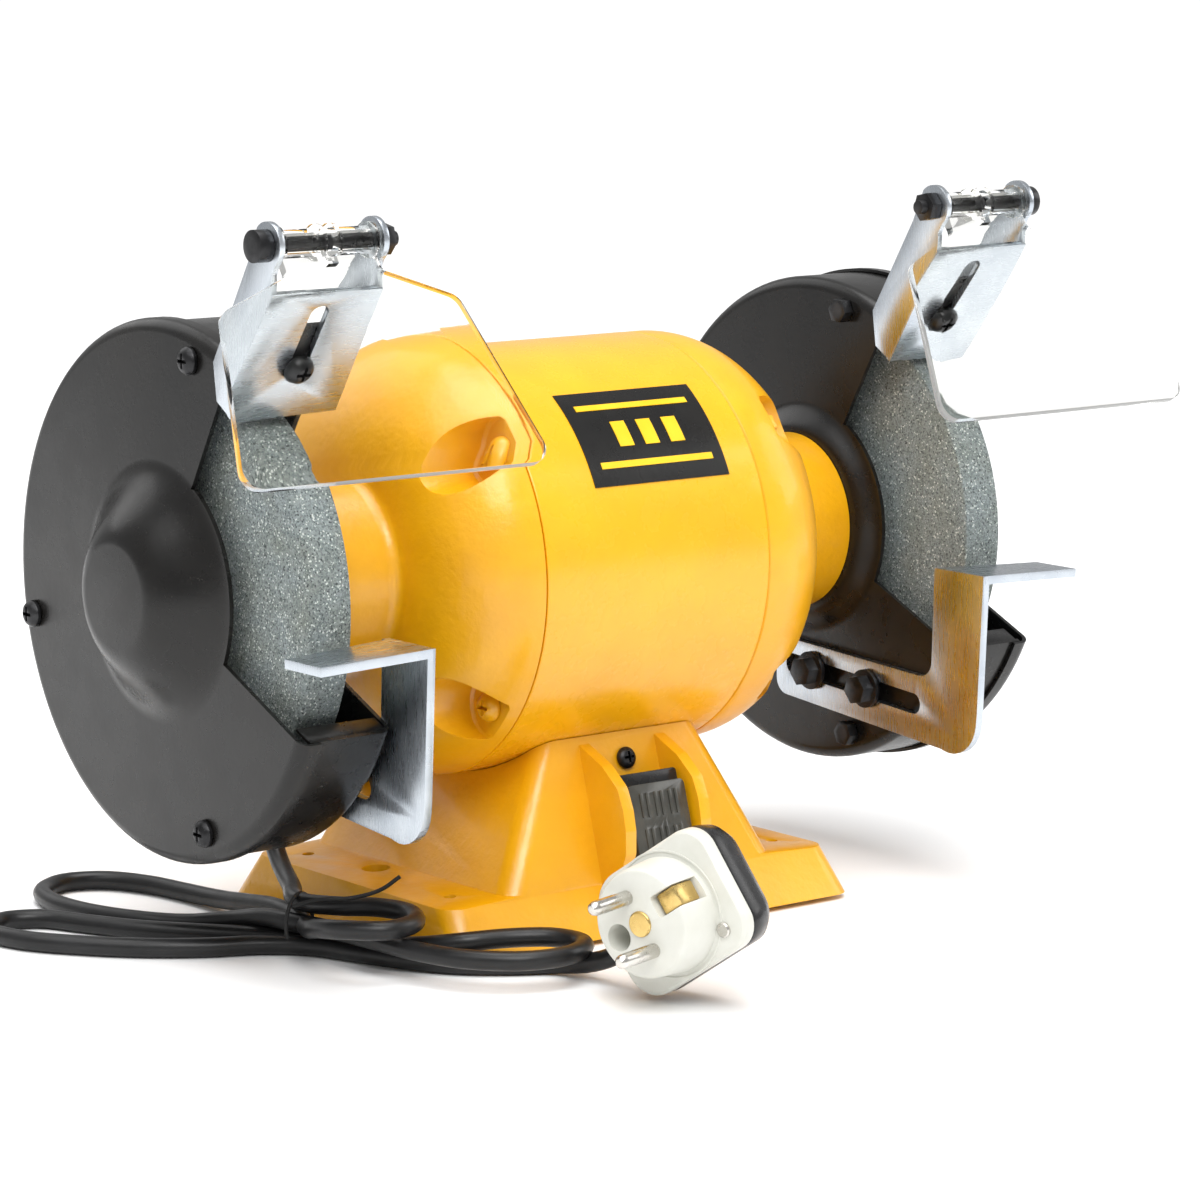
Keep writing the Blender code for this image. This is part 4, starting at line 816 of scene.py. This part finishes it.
def bent_strip(name, mat, x0, x1, low, high, gauge, steps=4):
    """A thin strip bent round the tube."""
    bm = bmesh.new()
    sections = []
    for k in range(steps + 1):
        angle = math.radians(low + (high - low) * k / steps)
        ring = []
        for x, depth in ((x0, TUBE_R - 0.1), (x1, TUBE_R - 0.1), (x1, TUBE_R + gauge), (x0, TUBE_R + gauge)):
            ring.append((x, -depth * math.cos(angle), SPINDLE_Z + depth * math.sin(angle)))
        sections.append(ring)
    add_loft(bm, sections)
    return settle(place(bm, name, mat))


# ---------------------------------------------------------------- wheels and guards

def make_wheels(mats):
    """Abrasive wheels with slightly worn edges."""
    centre = (0.0, 0.0, SPINDLE_Z)
    for label, side in SIDES:
        profile = [(WHEEL_IN, 6.35), (WHEEL_IN, WHEEL_R - 0.9), (WHEEL_IN + 0.3, WHEEL_R - 0.3),
                   (WHEEL_IN + 0.9, WHEEL_R), (WHEEL_OUT - 0.9, WHEEL_R), (WHEEL_OUT - 0.3, WHEEL_R - 0.3),
                   (WHEEL_OUT, WHEEL_R - 0.9), (WHEEL_OUT, 6.35)]
        wheel = turned("abrasive_wheel_" + label, mats["grinding_stone"], profile, 160, centre, side)
        dress(settle(wheel), "rotor", "grinding_stone", "grinding_wheel_" + label)


def guard_opening():
    """The notch in both guard plates that bares the front of the wheel."""
    start = math.degrees(math.atan2(36.4, -21.3))
    end = 360.0 + math.degrees(math.atan2(-18.5, -38.4))
    notch = arc((0.0, 0.0), DOME_R, start, end, 40)
    notch = [(-45.5, 78.5), (-21.3, 36.4)] + notch[1:]
    notch += [(-78.4, -36.9), (-130.0, -60.6), (-130.0, 140.0), (-81.0, 140.0)]
    return [(y, z + SPINDLE_Z) for y, z in notch]


def bump_line(inner_x, outer_x, inner_r, outer_r, steps):
    """A smooth S from the inner plateau out to the flat plate, as (x, radius, 0)."""
    line = []
    for i in range(steps + 1):
        part = i / steps
        ease = part * part * (3.0 - 2.0 * part)
        line.append((inner_x + (outer_x - inner_x) * ease, inner_r + (outer_r - inner_r) * part, 0.0))
    return line


def rolled_edge(x, radius, way):
    """The quarter round from a plate at x to the band at radius, as (x, radius, offset)."""
    turns = [math.pi / 2 * k / 8 for k in range(9)]
    return [(x + way * EDGE_R - way * EDGE_R * math.cos(a), radius - EDGE_R + EDGE_R * math.sin(a), GUARD_Y)
            for a in turns]


def pressed(line, way, gauge):
    """A line of (x, radius, offset) closed into a sheet by a second line inside it, way along x."""
    inner = []
    for i, (x, radius, offset) in enumerate(line):
        a, b = line[max(i - 1, 0)], line[min(i + 1, len(line) - 1)]
        run = Vector((b[0] - a[0], b[1] - a[1])).normalized()
        inner.append((x + way * abs(run.y) * gauge(x), radius - abs(run.x) * gauge(x), offset))
    if line[0][1] == 0.0:
        inner[0] = (line[0][0] + way * SHEET, 0.0, 0.0)
    return line + inner[::-1]


def make_guards(mats):
    """The pressed pans and domed covers, cut open at the front, with their lips and screws."""
    centre = (0.0, 0.0, SPINDLE_Z)
    outline = guard_opening()
    for label, side in SIDES:
        neck = NECK_END + GAP
        line = [(neck, 14.0, 0.0)] + bump_line(neck, PAN_X, 33.0, 43.0, 12)
        line += rolled_edge(PAN_X, BAND_R, 1.0) + [(BAND_END, BAND_R, GUARD_Y)]
        profile = pressed(line, 1.0, lambda x: SHEET)
        pan = turned("guard_pan_" + label, mats["black_steel"], profile, 128, centre, side, phase=0.011)
        combine(pan, sheet("pan_notch_" + label, None, outline, CUT_X0 * side, CUT_X1 * side))
        tongue = bracket_outline([(-7.95, 13.2), (-7.95, 2.3), (14.0, 2.3), (14.0, 3.8), (-6.45, 3.8),
                                  (-6.45, 12.4)])
        combine(pan, sheet("tongue_" + label, None, tongue, 127.0 * side, 149.8 * side), "UNION")
        for i, (y, z) in enumerate(REST_BOLTS):
            hole(pan, f"rest_hole_{label}_{i}", 119.0, 126.0, 3.3, y, z, side)
        dress(settle(pan), "root", "black_steel", "inner_guard_" + label)

        reach = Vector((-79.0, -37.9)).normalized()
        across = Vector((-reach.y, reach.x)) * SHEET
        lip = []
        for radius, shift in ((87.0, 0.2), (79.5, 0.2), (79.5, 1.0), (87.0, 1.0)):
            spot = Vector((GUARD_Y, SPINDLE_Z)) + reach * radius + across * shift
            lip.append((spot.x, spot.y))
        edge = sheet("guard_lip_" + label, mats["black_steel"], lip, 123.2 * side, 153.6 * side)
        dress(settle(edge, 0.4), "root", "black_steel")

        line = [(DOME_X, 0.0, 0.0)] + bump_line(DOME_X, COVER_X, 17.0, DOME_R + 1.0, 16)
        line += rolled_edge(COVER_X, RIM_R, -1.0) + [(COVER_X - 8.0, RIM_R, GUARD_Y)]
        profile = pressed(line, -1.0, lambda x: 1.1 if x < COVER_X - 2.0 else SHEET)
        cover = turned("guard_lid_" + label, mats["black_steel"], profile, 128, centre, side, phase=0.011)
        combine(cover, sheet("lid_notch_" + label, None, outline, CUT_X0 * side, CUT_X1 * side))
        dress(settle(cover), "root", "black_steel", "guard_cover_" + label)

        back = PAN_X - GAP
        for i, (y, z) in enumerate(COVER_SCREWS):
            screw = cross_screw(f"lid_screw_{label}_{i + 1}", mats["black_bolt"],
                                spindle_frame(y, SPINDLE_Z + z, side < 0), COVER_X + GAP, 4.6, 3.2, 2.4,
                                back - 4.0, (back - 4.0, back, 4.5, NUT_SIDES))
            dress(screw, "root", "black_bolt", f"cover_screw_{label}_{i + 1}")


# ---------------------------------------------------------------- tool rests

def make_tool_rests(mats):
    """Bent plated rests with their slots, and the bolts that clamp them."""
    def along(y):
        return REST_BOLTS[0][1] + (y - REST_BOLTS[0][0]) * math.tan(SLOT_SLOPE)

    for label, side in SIDES:
        arm = rounded([(-99.6, REST_TOP, 0.0), (-97.2, 66.0, 0.0), (-95.3, 46.5, 13.0), (-79.0, 51.2, 0.0),
                       (10.7, 59.4, 6.0), (10.7, 80.5, 6.0), (-66.0, 76.0, 5.0), (-73.3, 76.0, 6.0),
                       (-74.5, REST_TOP, 0.0)])
        rest = sheet("rest_plate_" + label, mats["zinc_plate"], arm, REST_X0 * side, REST_X1 * side)
        bm = bmesh.new()
        near, far = REST_X0 + 1.0, 162.5
        top = [(near, -99.6), (far, -100.3), (far, -80.2), (near + 4.0, -76.6), (near, -76.6)]
        heights = (REST_TOP, REST_TOP - 1.3, REST_TOP - 1.3, REST_TOP, REST_TOP)
        section = [(x * side, y, z) for (x, y), z in zip(top, heights)]
        add_loft(bm, [section, [(x, y, z - 3.0) for x, y, z in section]])
        combine(rest, place(bm, "table_" + label, None), "UNION")
        groove = slot((-64.0, along(-64.0)), (1.5, along(1.5)), 3.75, 16)
        combine(rest, sheet("groove_" + label, None, groove, 110.0 * side, 130.0 * side))
        dress(settle(rest, 0.5, 3), "rest_" + label, "zinc_plate", "tool_rest_" + label)
        for end, (y, z) in zip(("rear", "front"), REST_BOLTS):
            bolt = hex_bolt(f"rest_bolt_{label}_{end}", mats["black_bolt"], spindle_frame(y, z, side > 0))
            dress(bolt, "root", "black_bolt", f"tool_rest_bolt_{label}_{end}")


def hex_bolt(name, mat, matrix):
    """A hexagon bolt with a washer and a nut behind the pan; local -x runs into the guard."""
    bolt = turned(name, mat, rod(-127.0, -112.5, 2.9), 24, matrix=matrix)
    collars = ((-116.4, -111.7, 5.4, NUT_SIDES), (-117.9, -116.3, 7.0, 32), (-127.0, -123.3, 5.4, NUT_SIDES))
    add_collars(bolt, collars, matrix, 0.2)
    return settle(bolt, 0.3)


# ---------------------------------------------------------------- eye shields

def make_shields(mats):
    """Slotted channel brackets, their screws, the pivot bolts and the clear shields."""
    for label, side in SIDES:
        pivot = Vector((0.0, PIVOT_Y, PIVOT_Z)) - Vector((0.0, *BRACKET_SCREW[1:]))
        eye = (pivot.dot(BRACKET_UP), pivot.dot(BRACKET_BACK))
        cheek = [(-17.6, 0.5), (29.0, 0.5), (35.0, 4.0)] + arc(eye, 7.5, -110.0, 75.0, 24)
        cheek += [(31.0, 17.0), (-8.0, 17.0), (-17.6, 9.0)]
        flange = bracket_outline(cheek)
        bracket = sheet("bracket_" + label, mats["zinc_plate"], flange, 119.2 * side, 121.2 * side)
        combine(bracket, sheet("flange_" + label, None, flange, 158.8 * side, 160.8 * side), "UNION")
        face = bracket_outline([(-18.0, 0.0), (29.5, 0.0), (29.5, 2.0), (-18.0, 2.0)])
        combine(bracket, sheet("face_" + label, None, face, 119.3 * side, 160.7 * side), "UNION")
        groove = [(v, u) for u, v in slot((-2.0, 0.0), (20.4, 0.0), 3.3, 14)]
        combine(bracket, sheet("bracket_groove_" + label, None, groove, -2.0, 4.0, bracket_screw_frame(side)))
        dress(settle(bracket, 0.4), "bracket_" + label, "zinc_plate", "shield_bracket_" + label)

        flip = bracket_screw_frame(side) @ Matrix.Rotation(math.pi, 4, "Z")
        screw = cross_screw("face_screw_" + label, mats["black_bolt"], flip, GAP, 4.6, 4.0, 2.5, -7.6,
                            (-7.6, -4.1, 4.4, NUT_SIDES))
        dress(screw, "root", "black_bolt", "bracket_screw_" + label)

        pin_at = spindle_frame(PIVOT_Y, PIVOT_Z, side > 0)
        pin = turned("pivot_" + label, mats["black_bolt"], rod(-166.0, -112.0, 2.4), 24, matrix=pin_at)
        add_collars(pin, ((-166.0, -161.1, 5.2, 32), (-118.9, -114.6, 5.2, NUT_SIDES)), pin_at, 0.2)
        dress(settle(pin, 0.4), "bracket_" + label, "black_bolt", "shield_pivot_bolt_" + label)

        down = Vector((0.0, -math.sin(SHIELD_TILT), -math.cos(SHIELD_TILT)))
        front = Vector((0.0, -math.cos(SHIELD_TILT), math.sin(SHIELD_TILT)))
        hinge = Vector((SHIELD_MID * side, PIVOT_Y, PIVOT_Z))
        turn = local_frame(hinge, Vector((1.0, 0.0, 0.0)), down, front)
        edge = rounded([(-19.6, 3.2, 0.0), (-19.6, 11.5, 3.0), (-45.0, 22.6, 6.0), (-58.5, 82.5, 6.0),
                        (58.5, 82.5, 6.0), (44.5, 22.6, 6.0), (16.0, 11.5, 3.0), (16.0, 3.2, 0.0)])
        bm = bmesh.new()
        add_loft(bm, [[(x * side, v, w) for x, v in edge] for w in (-SHIELD_HALF, SHIELD_HALF)])
        shield = place(bm, "shield_" + label, mats["clear_plastic"], turn)
        for i, (x0, x1) in enumerate(((121.8, 137.5), (141.5, 158.2))):
            barrel = [(x0, 0.0), (x0, 6.0), (x0 + 1.5, 6.0), (x0 + 1.5, 4.6), (x1 - 1.5, 4.6),
                      (x1 - 1.5, 6.0), (x1, 6.0), (x1, 0.0)]
            tool = turned(f"barrel_{label}_{i}", None, barrel, 32, (0.0, PIVOT_Y, PIVOT_Z), side, phase=0.05)
            combine(shield, tool, "UNION")
        hole(shield, "bore_" + label, 118.0, 162.0, 2.9, PIVOT_Y, PIVOT_Z, side)
        combine(shield, sheet("gap_" + label, None, arc((PIVOT_Y, PIVOT_Z), 8.5, 0.0, 345.0, 23),
                              137.5 * side, 141.5 * side))
        dress(settle(shield, 0.4), "shield_" + label, "clear_plastic", "eye_shield_" + label)


# ---------------------------------------------------------------- scene

def keep_rest(frame, mats):
    """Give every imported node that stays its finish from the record's slots."""
    for part in frame["record"]["subparts"]:
        obj = frame["nodes"][part["node"]]
        obj.data.materials.clear()
        obj.data.materials.append(mats[part["material_slot"]])
        for polygon in obj.data.polygons:
            polygon.material_index = 0


def corners(box):
    """A box as plain lists."""
    return [[float(v) for v in corner] for corner in box]


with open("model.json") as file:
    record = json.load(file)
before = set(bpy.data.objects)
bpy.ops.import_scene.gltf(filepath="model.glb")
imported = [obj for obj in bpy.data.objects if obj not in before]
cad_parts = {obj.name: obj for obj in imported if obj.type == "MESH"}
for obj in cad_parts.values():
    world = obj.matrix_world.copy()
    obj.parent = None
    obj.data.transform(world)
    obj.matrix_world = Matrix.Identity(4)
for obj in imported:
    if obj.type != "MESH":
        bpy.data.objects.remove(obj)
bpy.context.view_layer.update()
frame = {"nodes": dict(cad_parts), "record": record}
mats = make_materials()
make_stage(mats)
make_cord(mats)
keep_rest(frame, mats)
make_base(mats)
make_switch(mats)
make_motor(mats)
make_wheels(mats)
make_guards(mats)
make_tool_rests(mats)
make_shields(mats)
